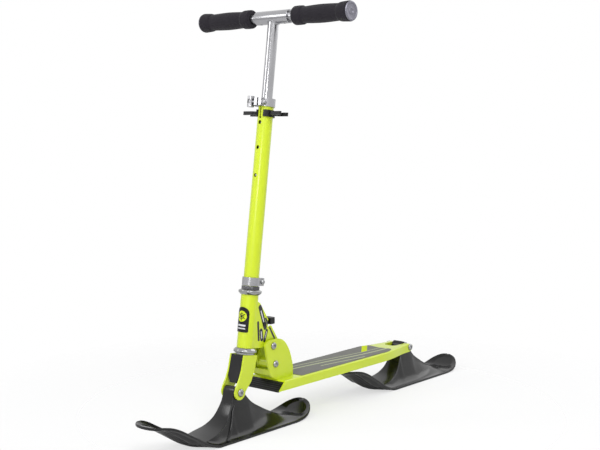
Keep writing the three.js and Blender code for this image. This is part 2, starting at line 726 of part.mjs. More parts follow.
/** The latch lever: its hub on the pin, a stem to the knob behind and a hook down to the lock bolt. */
function latchShape() {
  const hookUp = lockHeight + foldBoltRadius + fit * 4;
  const outline = [
    [latchPinAhead + latchHubRadius, latchPinHeight - latchHubRadius * 0.2, latchHubRadius * 0.5],
    [latchPinAhead + latchHubRadius * 0.6, latchPinHeight + latchHubRadius, latchHubRadius * 0.6],
    [knobFrontAhead + knobHeight * 0.2, latchPinHeight + knobHeight * 0.45],
    [knobFrontAhead - knobHeight * 0.8, latchPinHeight + knobHeight * 0.3],
    [knobFrontAhead - knobHeight * 0.8, latchPinHeight - knobHeight * 0.1],
    [latchPinAhead - latchHubRadius * 1.2, latchPinHeight - latchHubRadius * 1.6, latchHubRadius],
    [lockAhead + foldBoltRadius * 0.2, hookUp + foldBoltRadius * 2.4, foldBoltRadius],
    [lockAhead + foldBoltRadius * 0.8, hookUp + foldBoltRadius * 0.5],
    [lockAhead + foldBoltRadius * 2.2, hookUp + foldBoltRadius * 0.9, foldBoltRadius * 0.5],
    [latchPinAhead + latchHubRadius * 0.3, latchPinHeight - latchHubRadius * 1.8, latchHubRadius],
  ];
  const lever = sidePlate(outline, -latchHalfWidth, latchHalfWidth);
  const reach = latchHalfWidth + overrun;
  return cut(lever, across(rod(latchPinRadius + fit, -reach, reach, 16), latchPinAhead, latchPinHeight));
}

/** The knob on the lever's tail, its mouth closed round the stem. */
function knobShape() {
  const low = latchPinHeight - knobHeight * 0.35;
  const high = latchPinHeight + knobHeight * 0.65;
  const front = knobFrontAhead - knobHeight * 0.8 - fit;
  return flatPlate([
    [knobHalfWidth, front, knobHeight * 0.1], [knobHalfWidth, knobRearAhead, knobHeight * 0.4],
    [-knobHalfWidth, knobRearAhead, knobHeight * 0.4], [-knobHalfWidth, front, knobHeight * 0.1],
  ], low, high);
}

/** A headset cup, its seat towards one end and its rim flared towards the other. */
function cupShape(seat, rim) {
  const way = Math.sign(rim - seat);
  return turned([
    [headTubeBore, seat], [bearingRadius, seat], [cupRadius, seat + way * cupSeatThickness * 1.3],
    [cupRadius, rim - way * cupSeatThickness * 0.4], [cupRimRadius + cupSeatThickness * 0.5, rim],
    [cupRimRadius, rim], [cupRimRadius, seat + way * cupSeatThickness], [headTubeBore, seat + way * cupSeatThickness],
  ], 28);
}

/** The fork: a bent crown, two legs swept forward to the axle, and the steerer tube above. */
function forkShape() {
  const axle = [aheadOfColumn(frontAxleAhead, axleHeight), alongColumn(frontAxleAhead, axleHeight)];
  const drop = crownTop - axle[1];
  const frontReach = axle[0] + forkEndRadius - crownAhead;
  const rearReach = axle[0] - forkEndRadius + crownBehind;
  const frontShares = [[0, 0], [0.18, 0.08], [0.4, 0.17], [0.66, 0.46], [0.87, 0.88]];
  const rearShares = [[0.97, 0.97], [0.72, 0.45], [0.42, 0.17], [0, 0]];
  const outline = [
    ...frontShares.map(([down, out]) => [crownAhead + frontReach * out, crownTop - drop * down]),
  ];
  const steps = 8;
  for (let k = 0; k <= steps; k += 1) {
    const angle = -160 * degree * k / steps;
    outline.push([axle[0] + forkEndRadius * Math.cos(angle), axle[1] + forkEndRadius * Math.sin(angle)]);
  }
  outline.push(...rearShares.map(([down, out]) => [-crownBehind + rearReach * out, crownTop - drop * down]));
  const outer = forkInnerHalf + legThickness;
  const blank = sidePlate(outline, -outer, outer);
  const room = [
    [axle[0] + forkEndRadius * 2, axle[1] - forkEndRadius * 2],
    [axle[0] + forkEndRadius * 2, crownTop - crownThickness],
    [-crownBehind - overrun, crownTop - crownThickness],
    [-crownBehind - overrun, axle[1] - forkEndRadius * 2],
  ];
  const between = sidePlate(room, -forkInnerHalf, forkInnerHalf);
  const front = block(
    [-forkInnerHalf, -crownAhead - frontReach, axle[1]],
    [forkInnerHalf, -infillAhead + infillThickness + fit * 4, crownTop + overrun],
  );
  const steerer = rod(steererRadius, crownTop - crownThickness, steererTop);
  const bore = rod(steererBore, crownTop - crownThickness - overrun, steererTop + overrun);
  const reach = outer + overrun;
  const axleBore = across(rod(axleRadius + fit, -reach, reach, 20), axle[0], axle[1]);
  return cut(join(cut(blank, between, front), steerer), bore, axleBore);
}

/** The ribbed panel that fills the space between the fork's legs. */
function infillShape() {
  const half = forkInnerHalf - fit;
  const foot = half - infillCorner * 0.6;
  const plate = frontPlate([
    [-foot, 0], [foot, 0], [half, infillCorner], [half, infillTop - infillBottom],
    [-half, infillTop - infillBottom], [-half, infillCorner],
  ], -infillThickness, 0);
  const rise = infillTop - infillBottom;
  return plate.rotateX(-infillLean).translate(0, -infillAhead - rise * Math.sin(infillLean), infillBottom);
}

/** The column tube with its height holes, the front slit above and the rear slit below. */
function columnShape() {
  const tube = ring(columnBore, columnRadius, columnLow, columnTop, 28);
  const holes = holeHeights.map((up) => forwards(rod(holeRadius, 0, columnRadius + overrun, 16), 0, up));
  const frontSlit = block(
    [-slitHalfWidth, -columnRadius - overrun, frontSlitLow],
    [slitHalfWidth, 0, columnTop + overrun],
  );
  const rearSlit = block(
    [-slitHalfWidth, 0, columnLow - overrun],
    [slitHalfWidth, columnRadius + overrun, rearSlitHigh],
  );
  return cut(tube, ...holes, frontSlit, rearSlit);
}

/** A split clamp collar; its lugs point ahead for +1 and behind for -1. */
function collarShape(low, high, way, boltAt, reachOut, lip) {
  const band = ring(columnRadius + fit, collarRadius, low, high, 28);
  const near = columnRadius + fit * 3;
  const lugs = block(
    [-lugHalfWidth, Math.min(-way * near, -way * reachOut), low + fit],
    [lugHalfWidth, Math.max(-way * near, -way * reachOut), high - fit],
  );
  const slit = block(
    [-slitHalfWidth, Math.min(0, -way * (reachOut + overrun)), low - overrun],
    [slitHalfWidth, Math.max(0, -way * (reachOut + overrun)), high + overrun],
  );
  const reach = lugHalfWidth + overrun;
  const hole = across(rod(clampBoltRadius + fit, -reach, reach, 16), way * boltAt, (low + high) / 2);
  const solid = lip ? join(band, lugs, ring(stemRadius + fit * 2, collarRadius - fit, columnTop + fit, high, 28))
    : join(band, lugs);
  return cut(solid, slit, hole);
}

/** The domed nut on the skewer. */
function skewerNutShape() {
  const seat = lugHalfWidth + fit;
  const dome = turned([
    [0, seat + skewerNutLength * 0.45], [0, seat + skewerNutLength],
    [skewerNutRadius * 0.6, seat + skewerNutLength * 0.9],
    [skewerNutRadius * 0.95, seat + skewerNutLength * 0.55],
    [skewerNutRadius, seat], [clampBoltRadius + fit, seat], [clampBoltRadius + fit, seat + skewerNutLength * 0.45],
  ], 24);
  return across(dome, skewerAhead, (topCollarLow + topCollarHigh) / 2);
}

/** The skewer with the eye that carries the cam pin. */
function skewerShape() {
  const middle = (topCollarLow + topCollarHigh) / 2;
  const shank = rod(clampBoltRadius, -barrelSide + camPinRadius * 2, lugHalfWidth + skewerNutLength * 0.4, 20);
  const eye = rod(camPinRadius * 2.2, middle - eyeHeight / 2, middle + eyeHeight / 2, 24);
  const pinHole = rod(camPinRadius + fit, middle - eyeHeight, middle + eyeHeight, 16);
  return cut(
    join(across(shank, skewerAhead, middle), eye.translate(-barrelSide, -skewerAhead, 0)),
    pinHole.translate(-barrelSide, -skewerAhead, 0),
  );
}

/** The cam lever about its own pin: a barrel in two halves and the blade that runs back from it. */
function camLeverShape() {
  const half = barrelHeight / 2;
  const barrel = rod(barrelRadius, -half, half, 32);
  const blade = flatPlate([
    [-barrelRadius * 0.95, 0], [-barrelRadius * 0.95, -leverReach * 0.4, leverReach * 0.2],
    [-barrelRadius * 0.5, -leverReach, leverThickness * 0.5],
    [-barrelRadius * 0.5 + leverThickness, -leverReach, leverThickness * 0.5],
    [-barrelRadius * 0.95 + leverThickness, -leverReach * 0.4, leverReach * 0.2],
    [-barrelRadius * 0.95 + leverThickness, 0],
  ], -leverHeight / 2, leverHeight / 2);
  const gap = eyeHeight / 2 + fit;
  const slot = block([-barrelRadius * 0.82, -barrelRadius - overrun, -gap], [barrelRadius + overrun, overrun * 2, gap]);
  const pinHole = rod(camPinRadius + fit, -half - overrun, half + overrun, 16);
  return cut(join(barrel, blade), slot, pinHole);
}

/** The clip on the column: an open band and a two-pronged seat for a handle on each side. */
function clipShape() {
  const band = ring(columnRadius + fit, clipRadius, clipLow, clipHigh, 28);
  const middle = (clipLow + clipHigh) / 2;
  const low = middle - prongHeight / 2;
  const high = middle + prongHeight / 2;
  const seats = [1, -1].map((side) => {
    const inner = side * (columnRadius + fit * 4);
    const outer = side * prongTipSide;
    const root = flatPlate([
      [inner, prongHalfSpan * 0.7, overrun], [side * clipSeatSide * 0.75, prongHalfSpan, overrun],
      [outer, prongHalfSpan, overrun], [outer, -prongHalfSpan, overrun],
      [side * clipSeatSide * 0.75, -prongHalfSpan, overrun], [inner, -prongHalfSpan * 0.7, overrun],
    ], low, high);
    const seat = rod(clipSeatRadius, low - overrun, high + overrun, 28).translate(side * clipSeatSide, 0, 0);
    const mouth = flatPlate([
      [side * clipSeatSide, clipMouthHalf], [side * (prongTipSide + overrun), clipMouthHalf * 1.25],
      [side * (prongTipSide + overrun), -clipMouthHalf * 1.25], [side * clipSeatSide, -clipMouthHalf],
    ], low - overrun, high + overrun);
    return cut(root, seat, mouth);
  });
  const reach = clipRadius + overrun;
  const spread = reach * Math.tan(clipMouth);
  const gap = flatPlate([[0, 0], [spread, reach], [-spread, reach]], clipLow - overrun, clipHigh + overrun);
  const bore = rod(columnRadius + fit, clipLow - overrun, clipHigh + overrun, 28);
  return cut(join(band, ...seats), gap, bore);
}

/** The T-bar: a stem welded to the cross sleeve that takes the two handles. */
function tBarShape() {
  const stem = rod(stemRadius, stemLow, barHeight, 28);
  const stemHole = rod(stemBore, stemLow - overrun, barHeight - sleeveRadius + fit, 32);
  const sleeve = across(rod(sleeveRadius, -sleeveHalfLength, sleeveHalfLength, 28), 0, barHeight);
  const reach = sleeveHalfLength + overrun;
  const sleeveHole = across(rod(handleRadius + fit, -reach, reach, 28), 0, barHeight);
  const buttonHole = forwards(rod(buttonRadius + fit, 0, columnRadius, 16), 0, holeHeights[0]);
  const snapHoles = [1, -1].map((side) => {
    return rod(snapRadius + fit, barHeight - sleeveRadius - overrun, barHeight, 16).translate(side * snapSide, 0, 0);
  });
  return cut(join(cut(stem, stemHole), cut(sleeve, sleeveHole)), sleeveHole, buttonHole, ...snapHoles);
}

/** The plug on the foot of the stem. */
function stemPlugShape() {
  const flange = columnBore - fit;
  const spigot = stemBore - fit;
  return turned([
    [0, plugLow], [flange, plugLow], [flange, stemLow - fit], [spigot, stemLow - fit],
    [spigot, stemLow + plugSpigot], [0, stemLow + plugSpigot],
  ]);
}

/** A domed button about Z, from its foot to the top of its dome. */
function buttonShape(radius, foot, top) {
  const flank = top - radius * 0.32;
  return turned([[0, foot], [radius, foot], [radius, flank], [radius * 0.6, top - radius * 0.1], [0, top]], 20);
}

/** One handle tube, towards +X. */
function handleTubeShape() {
  const tube = ring(handleBore, handleRadius, handleInnerEnd, gripOuterEnd, 32);
  const hole = rod(snapRadius + fit, -handleRadius - overrun, 0, 16).translate(snapSide, 0, 0);
  return cut(across(tube, 0, 0), hole);
}

/** One foam grip about X: a collar at each end and a body that swells a little in the middle. */
function foamGripShape() {
  const bodyLow = gripInnerEnd + innerFlangeLength;
  const bodyHigh = gripOuterEnd - outerFlangeLength;
  const step = gripFlangeRadius - gripWaistRadius;
  const middle = (bodyLow + bodyHigh) / 2;
  return across(turned([
    [handleRadius + fit, gripInnerEnd], [gripFlangeRadius - step * 0.9, gripInnerEnd],
    [gripFlangeRadius, gripInnerEnd + step], [gripFlangeRadius, bodyLow - step * 1.2],
    [gripWaistRadius, bodyLow], [gripBodyRadius, (bodyLow + middle) / 2], [gripBodyRadius, (bodyHigh + middle) / 2],
    [gripWaistRadius, bodyHigh - step], [gripFlangeRadius * 0.97, gripOuterEnd - step],
    [gripFlangeRadius, gripOuterEnd], [handleRadius + fit, gripOuterEnd],
  ], 24), 0, 0);
}

/** One end cap about X, its spigot inside the handle tube. */
function endCapShape() {
  const seat = gripOuterEnd + fit;
  const spigot = handleBore - fit;
  const face = seat + endCapThickness;
  return across(turned([
    [0, seat - endCapThickness * 2], [spigot, seat - endCapThickness * 2], [spigot, seat], [endCapRadius, seat],
    [endCapRadius, face - endCapThickness * 0.3], [endCapRadius * 0.9, face], [0, face],
  ], 24), 0, 0);
}

const finishes = {
  lime: { color: 0xc3dc2c, roughness: 0.32, metalness: 0.1 },
  silver: { color: 0xc9cbd0, roughness: 0.28, metalness: 1 },
  steel: { color: 0x9a9ca2, roughness: 0.4, metalness: 1 },
  darkSteel: { color: 0x3a3b40, roughness: 0.45, metalness: 0.8 },
  black: { color: 0x1c1c1e, roughness: 0.45, metalness: 0 },
  skiPlastic: { color: 0x222224, roughness: 0.35, metalness: 0 },
  foam: { color: 0x322e34, roughness: 0.95, metalness: 0 },
  sheet: { color: 0x6e6e70, roughness: 0.9, metalness: 0 },
};

const scooter = new THREE.Group();
const column = new THREE.Group();
column.position.y = -groundAhead;
column.rotation.x = -rake;
scooter.add(column);

/** Adds one named piece to a group, in its own material. */
function piece(parent, name, geometry, finish) {
  const mesh = new THREE.Mesh(geometry, new THREE.MeshStandardMaterial(finishes[finish]));
  mesh.name = name;
  parent.add(mesh);
  return mesh;
}

// Deck and bracket
piece(scooter, 'deck', deckShape(), 'lime');
piece(scooter, 'deck_grip', deckGripShape(), 'sheet');
piece(scooter, 'front_cap', frontCapShape(), 'black');
piece(scooter, 'fold_bracket', bracketShape(), 'lime');

// Bolts across the scooter: head on the left, nut on the right
const bracketOuter = bracketInnerHalf + plateThickness;
const legOuter = forkInnerHalf + legThickness;
const crossBolts = [
  ['pivot', pivotAhead, pivotHeight, bracketOuter, foldBoltRadius, foldHeadRadius],
  ['lock', lockAhead, lockHeight, bracketOuter, foldBoltRadius, foldHeadRadius],
  ['rear_axle', rearAxleAhead, axleHeight, prongHalfWidth, axleRadius, axleHeadRadius],
  ['front_axle', frontAxleAhead, axleHeight, legOuter, axleRadius, axleHeadRadius],
];
crossBolts.forEach(([name, ahead, up, half, radius, head]) => {
  const end = -half - fit - boltNutHeight - fit * 2;
  const nut = hexNut(radius, head, -half - fit - boltNutHeight, -half - fit);
  piece(scooter, `${name}_bolt`, across(bolt(radius, end, half + fit, head, boltHeadHeight), ahead, up), 'silver');
  piece(scooter, `${name}_nut`, across(nut, ahead, up), 'silver');
});

// Spacers beside the skis' bosses
const spacers = [['front', frontAxleAhead, forkInnerHalf], ['rear', rearAxleAhead, prongGapHalf]];
spacers.forEach(([name, ahead, inner]) => {
  [['left', 1], ['right', -1]].forEach(([hand, side]) => {
    const ends = [side * (bossHalfWidth + fit), side * (inner - fit)].sort((a, b) => a - b);
    const spacer = ring(axleRadius + fit, axleRadius * 2.4, ...ends, 16);
    piece(scooter, `${name}_spacer_${hand}`, across(spacer, ahead, axleHeight), 'steel');
  });
});

// Neck
piece(scooter, 'neck', neckShape(), 'lime');
piece(column, 'badge', badgeShape(), 'black');
piece(column, 'upper_cup', cupShape(headTubeHigh + fit, upperCupHigh), 'silver');
piece(column, 'lower_cup', cupShape(headTubeLow - fit, lowerCupLow), 'silver');
const raceRadius = steererRadius + fit;
const upperSeat = headTubeHigh + cupSeatThickness + fit * 2;
const lowerSeat = headTubeLow - cupSeatThickness - fit * 2;
piece(column, 'upper_bearing', ring(raceRadius, bearingRadius, upperSeat, upperCupHigh - fit, 24), 'steel');
piece(column, 'lower_bearing', ring(raceRadius, bearingRadius, lowerCupLow + overrun, lowerSeat, 24), 'steel');
[['left', 1], ['right', -1]].forEach(([hand, side]) => {
  const ends = [side * (cheekOuterHalf + fit), side * (bracketInnerHalf - fit)].sort((a, b) => a - b);
  const washer = ring(foldBoltRadius + fit, hubSleeveRadius * 0.85, ...ends, 16);
  piece(scooter, `pivot_washer_${hand}`, across(washer, pivotAhead, pivotHeight), 'steel');
});
const pinHead = latchPinRadius * 1.7;
const pin = bolt(latchPinRadius, -cheekOuterHalf - fit, cheekOuterHalf + fit, pinHead, latchPinRadius * 0.6);
piece(scooter, 'latch_pin', across(pin, latchPinAhead, latchPinHeight), 'steel');
const springLow = latchHalfWidth + fit * 2;
const springHigh = cheekOuterHalf - cheekThickness - fit;
const spring = ring(latchPinRadius + fit, latchPinRadius * 1.6, springLow, springHigh, 20);
piece(scooter, 'latch_spring', across(spring, latchPinAhead, latchPinHeight), 'steel');
piece(scooter, 'latch_lever', latchShape(), 'steel');
piece(scooter, 'latch_knob', knobShape(), 'black');

// Fork
piece(column, 'fork', forkShape(), 'lime');
piece(column, 'fork_infill', infillShape(), 'black');
const crownRace = ring(raceRadius, bearingRadius - fit, crownTop + fit, lowerCupLow + overrun - fit, 24);
piece(column, 'crown_race', crownRace, 'steel');
const locknut = hexNut(steererRadius, locknutRadius, upperCupHigh + fit, locknutHigh);
piece(column, 'headset_locknut', locknut, 'darkSteel');

// Column tube and what is clamped on it
piece(column, 'column_tube', columnShape(), 'lime');
const bush = ring(stemRadius + fit, columnBore - fit, bushLow, columnTop, 24);
piece(column, 'column_bush', bush, 'black');
const lowerCollarLow = columnLow + fit * 2;
const lowerMiddle = (lowerCollarLow + lowerCollarHigh) / 2;
const lowerCollar = collarShape(lowerCollarLow, lowerCollarHigh, -1, clampBoltBehind, lugReach, false);
piece(column, 'lower_collar', lowerCollar, 'silver');
const clampEnd = -lugHalfWidth - fit * 2 - clampHeadHeight;
const clampBolt = bolt(clampBoltRadius, clampEnd, lugHalfWidth + fit, clampHeadRadius, clampHeadHeight);
piece(column, 'lower_collar_bolt', across(clampBolt, -clampBoltBehind, lowerMiddle), 'steel');
const clampNut = hexNut(clampBoltRadius, clampHeadRadius, -lugHalfWidth - fit - clampHeadHeight, -lugHalfWidth - fit);
piece(column, 'lower_collar_nut', across(clampNut, -clampBoltBehind, lowerMiddle), 'steel');
const topCollar = collarShape(topCollarLow, topCollarHigh, 1, skewerAhead, topLugReach, true);
piece(column, 'top_collar', topCollar, 'silver');
piece(column, 'skewer', skewerShape(), 'silver');
piece(column, 'skewer_nut', skewerNutShape(), 'silver');
const topMiddle = (topCollarLow + topCollarHigh) / 2;
const camPin = rod(camPinRadius, topMiddle - barrelHeight / 2, topMiddle + barrelHeight / 2, 16);
piece(column, 'cam_pin', camPin.translate(-barrelSide, -skewerAhead, 0), 'steel');
const lever = piece(column, 'cam_lever', camLeverShape(), 'silver');
lever.position.set(-barrelSide, -skewerAhead, topMiddle);
piece(column, 'handle_clip', clipShape(), 'black');

// T-bar
piece(column, 't_bar', tBarShape(), 'silver');
piece(column, 'stem_plug', stemPlugShape(), 'black');
const button = buttonShape(buttonRadius, stemRadius * 0.4, columnBore - fit / 2);
piece(column, 'height_button', forwards(button, 0, holeHeights[0]), 'silver');

// Handles: one drawing, and its mirror image for the other side
[['left', 1], ['right', -1]].forEach(([hand, side]) => {
  const turn = side > 0 ? 0 : 2 * quarter;
  const parts = [
    ['handle', handleTubeShape(), 'silver'],
    ['grip', foamGripShape(), 'foam'],
    ['end_cap', endCapShape(), 'silver'],
  ];
  parts.forEach(([name, geometry, finish]) => {
    piece(column, `${hand}_${name}`, geometry.rotateZ(turn), finish).position.z = barHeight;
  });
  const snap = buttonShape(snapRadius, handleBore * 0.5, handleRadius + fit / 2);
  const placed = snap.rotateX(2 * quarter).translate(side * snapSide, 0, 0);
  piece(column, `${hand}_snap_button`, placed, 'steel').position.z = barHeight;
});

// Skis
const skis = [['front_ski', frontAxleAhead], ['rear_ski', rearAxleAhead]];
skis.forEach(([name, ahead]) => {
  piece(scooter, name, skiShape(), 'skiPlastic').position.y = -ahead;
});

export default scooter;
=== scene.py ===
"""A folding snow scooter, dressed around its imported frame, in metres."""
import json
import logging
from dataclasses import dataclass, field
from enum import Enum
from math import atan2, cos, hypot, pi, radians, sin, tan
from typing import Iterable, Optional, Sequence

import bmesh
import bpy
from mathutils import Matrix, Vector

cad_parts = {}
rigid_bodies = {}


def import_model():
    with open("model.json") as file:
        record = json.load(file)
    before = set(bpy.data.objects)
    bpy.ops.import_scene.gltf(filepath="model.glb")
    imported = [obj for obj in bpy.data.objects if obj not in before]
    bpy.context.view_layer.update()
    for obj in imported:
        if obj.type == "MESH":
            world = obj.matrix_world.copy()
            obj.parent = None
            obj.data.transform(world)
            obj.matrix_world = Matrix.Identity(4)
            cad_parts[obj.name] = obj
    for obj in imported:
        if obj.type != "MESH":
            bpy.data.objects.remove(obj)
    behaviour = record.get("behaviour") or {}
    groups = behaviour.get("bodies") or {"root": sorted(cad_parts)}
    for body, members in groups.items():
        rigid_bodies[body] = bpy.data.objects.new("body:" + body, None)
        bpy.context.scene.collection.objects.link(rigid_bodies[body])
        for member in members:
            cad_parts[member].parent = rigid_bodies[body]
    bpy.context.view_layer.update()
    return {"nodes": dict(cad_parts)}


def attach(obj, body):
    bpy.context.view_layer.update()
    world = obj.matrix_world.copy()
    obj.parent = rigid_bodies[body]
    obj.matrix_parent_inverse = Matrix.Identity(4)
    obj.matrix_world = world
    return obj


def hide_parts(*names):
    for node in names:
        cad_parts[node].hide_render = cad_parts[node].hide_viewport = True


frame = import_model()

LOG = logging.getLogger("snow_scooter")
MM = 0.001
RAKE = radians(7.7)
COLUMN_FOOT = Vector((0, -0.2562, 0))
COLUMN = Matrix.Translation(COLUMN_FOOT) @ Matrix.Rotation(-RAKE, 4, "X")
AXLE_HEIGHT = 0.0845
BAR_HEIGHT = 0.808
Profile = Sequence[tuple[float, ...]]


class Body(Enum):
    """The moving bodies that dressed pieces ride on."""

    FRAME = "frame"
    NECK = "neck"
    LATCH = "latch"
    STEERING = "steering"
    CAM = "cam"
    BAR = "bar"
    LEFT_HAND = "left_hand"
    RIGHT_HAND = "right_hand"
    FRONT_RUNNER = "front_runner"
    REAR_RUNNER = "rear_runner"


class Slot(Enum):
    """The record's material slots."""

    LIME = "lime_paint"
    ALUMINIUM = "satin_aluminium"
    STEEL = "plated_steel"
    PLASTIC = "black_plastic"
    SKI = "ski_plastic"
    FOAM = "foam"
    SHEET = "grip_sheet"


class Socket:
    """A shader value that takes part in Python sums."""

    def __init__(self, graph: "Graph", link: bpy.types.NodeSocket) -> None:
        """Keeps the graph and the socket the value comes from."""
        self.graph = graph
        self.link = link

    def _math(self, operation: str, first: object, second: object = 0.0) -> "Socket":
        """Adds one Math node and returns its value."""
        return self.graph.node("ShaderNodeMath", {"operation": operation}, {0: first, 1: second})

    def __add__(self, other: object) -> "Socket":
        """Returns the sum."""
        return self._math("ADD", self, other)

    def __radd__(self, other: object) -> "Socket":
        """Returns the sum, with the number first."""
        return self._math("ADD", other, self)

    def __sub__(self, other: object) -> "Socket":
        """Returns the difference."""
        return self._math("SUBTRACT", self, other)

    def __rsub__(self, other: object) -> "Socket":
        """Returns the difference, with the number first."""
        return self._math("SUBTRACT", other, self)

    def __mul__(self, other: object) -> "Socket":
        """Returns the product."""
        return self._math("MULTIPLY", self, other)

    def __rmul__(self, other: object) -> "Socket":
        """Returns the product, with the number first."""
        return self._math("MULTIPLY", other, self)

    def __lt__(self, other: object) -> "Socket":
        """Returns one where the value is below the other."""
        return self._math("LESS_THAN", self, other)

    def __gt__(self, other: object) -> "Socket":
        """Returns one where the value is above the other."""
        return self._math("GREATER_THAN", self, other)

    def size(self) -> "Socket":
        """Returns the value without its sign."""
        return self._math("ABSOLUTE", self)

    def wave(self) -> "Socket":
        """Returns the sine of the value."""
        return self._math("SINE", self)

    def within(self, period: float) -> "Socket":
        """Returns the rest after whole periods, never negative."""
        return self._math("FLOORED_MODULO", self, period)

    def either(self, other: object) -> "Socket":
        """Returns the larger of two masks."""
        return self._math("MAXIMUM", self, other)


class Graph:
    """The node tree of one material, with its main shader."""

    def __init__(self, name: str) -> None:
        """Makes the material and finds its shader."""
        self.material = bpy.data.materials.new(name)
        self.material.use_nodes = True
        self.tree = self.material.node_tree
        self.shader = self.tree.nodes["Principled BSDF"]
        self._place: Optional[Socket] = None

    def node(self, kind: str, settings: dict, inputs: dict, output: object = 0) -> Socket:
        """Adds a node.

        Args:
            kind: The node's type.
            settings: Its own settings, set first; "stops" are a ramp's stops.
            inputs: Values or links by socket name or number.
            output: The name or number of the socket to return.

        Returns:
            The chosen output.
        """
        node = self.tree.nodes.new(kind)
        for key, value in settings.items():
            if key == "stops":
                self._set_stops(node.color_ramp, value)
            else:
                setattr(node, key, value)
        for key, value in inputs.items():
            self._feed(node.inputs[key], value)
        return Socket(self, node.outputs[output])

    def _set_stops(self, ramp: bpy.types.ColorRamp, stops: Sequence[tuple]) -> None:
        """Puts a ramp's stops in place."""
        while len(ramp.elements) < len(stops):
            ramp.elements.new(0.5)
        for element, (position, value) in zip(ramp.elements, stops):
            element.position = position
            element.color = (value, value, value, 1.0) if isinstance(value, float) else (*value, 1.0)

    def _feed(self, socket: bpy.types.NodeSocket, value: object) -> None:
        """Links or sets one input."""
        if isinstance(value, Socket):
            self.tree.links.new(value.link, socket)
        else:
            socket.default_value = value

    def set(self, **values: object) -> None:
        """Sets the shader's own sockets; underscores stand for spaces."""
        for key, value in values.items():
            self._feed(self.shader.inputs[key.replace("_", " ")], value)

    def place(self) -> Socket:
        """Returns the object coordinates."""
        if self._place is None:
            self._place = self.node("ShaderNodeTexCoord", {}, {}, "Object")
        return self._place

    def axes(self) -> tuple[Socket, Socket, Socket]:
        """Returns the three object coordinates as numbers."""
        split = self.tree.nodes.new("ShaderNodeSeparateXYZ")
        self.tree.links.new(self.place().link, split.inputs[0])
        return tuple(Socket(self, output) for output in split.outputs)

    def noise(self, scale: float, detail: float = 3.0, stretch: tuple = (1, 1, 1)) -> Socket:
        """Returns a noise of the given scale per metre."""
        spot = self.node("ShaderNodeMapping", {}, {"Vector": self.place(), "Scale": stretch})
        inputs = {"Vector": spot, "Scale": scale, "Detail": detail}
        return self.node("ShaderNodeTexNoise", {}, inputs, "Fac")

    def cells(self, scale: float) -> Socket:
        """Returns the distance to the nearest of scattered points."""
        return self.node("ShaderNodeTexVoronoi", {}, {"Vector": self.place(), "Scale": scale}, "Distance")

    def blend(self, mask: object, first: object, second: object) -> Socket:
        """Returns a colour between two, by a mask."""
        first = (*first, 1.0) if isinstance(first, tuple) else first
        second = (*second, 1.0) if isinstance(second, tuple) else second
        return self.node("ShaderNodeMix", {"data_type": "RGBA"}, {0: mask, 6: first, 7: second}, 2)

    def bump(self, height: Socket, distance: float, strength: float = 1.0) -> None:
        """Feeds a bump to the shader's normal."""
        inputs = {"Height": height, "Distance": distance, "Strength": strength}
        self.set(Normal=self.node("ShaderNodeBump", {}, inputs))


@dataclass(frozen=True)
class Paint:
    """Gloss paint with a faint orange peel, darker where it lies thick."""

    name: str
    color: tuple[float, float, float]
    deep: tuple[float, float, float]

    def graph(self) -> Graph:
        """Returns the paint as a node tree, ready for decals."""
        made = Graph(self.name)
        made.set(Specular_IOR_Level=0.32, Coat_Weight=0.5, Coat_Roughness=0.16)
        made.set(Base_Color=made.blend(made.noise(14.0) * 0.5, self.color, self.deep))
        made.set(Roughness=0.3 + made.noise(60.0) * 0.12)
        made.bump(made.noise(900.0, 2.0), 0.00002, 0.35)
        return made


@dataclass(frozen=True)
class Metal:
    """Bright metal with fine drawn lines along one direction."""

    name: str
    color: tuple[float, float, float]
    roughness: float
    stretch: tuple[float, float, float]

    def graph(self) -> Graph:
        """Returns the metal as a node tree."""
        made = Graph(self.name)
        lines = made.noise(900.0, 3.0, self.stretch)
        made.set(Metallic=1.0)
        dull = tuple(value * 0.82 for value in self.color)
        made.set(Base_Color=made.blend(made.noise(25.0), self.color, dull))
        made.set(Roughness=self.roughness + lines * 0.08)
        made.bump(lines, 0.000002, 0.2)
        return made


@dataclass(frozen=True)
class Plastic:
    """Moulded plastic with a fine grain and soft scuffs."""

    name: str
    color: tuple[float, float, float]
    scuffed: tuple[float, float, float]
    roughness: float
    grain: float
    depth: float
    gloss: float = 0.3

    def graph(self) -> Graph:
        """Returns the plastic as a node tree."""
        made = Graph(self.name)
        scuffs = made.node("ShaderNodeValToRGB", {"stops": ((0.45, 0.0), (0.75, 1.0))}, {0: made.noise(18.0, 6.0)})
        made.set(Specular_IOR_Level=self.gloss)
        made.set(Base_Color=made.blend(scuffs, self.color, self.scuffed))
        made.set(Roughness=self.roughness + made.noise(45.0, 5.0) * 0.14)
        made.bump(made.noise(self.grain, 2.0), self.depth, 0.5)
        return made


@dataclass(frozen=True)
class Foam:
    """Closed-cell foam: matt, pitted and a little mottled."""

    name: str
    color: tuple[float, float, float]
    pale: tuple[float, float, float]

    def graph(self) -> Graph:
        """Returns the foam as a node tree."""
        made = Graph(self.name)
        pits = made.cells(1500.0)
        made.set(Specular_IOR_Level=0.25, Sheen_Weight=0.08, Sheen_Roughness=0.5)
        made.set(Base_Color=made.blend(made.noise(70.0) * 0.7, self.color, self.pale))
        made.set(Roughness=0.82 + made.noise(200.0) * 0.15)
        made.bump(pits + made.noise(500.0) * 0.6, 0.00025, 0.7)
        return made


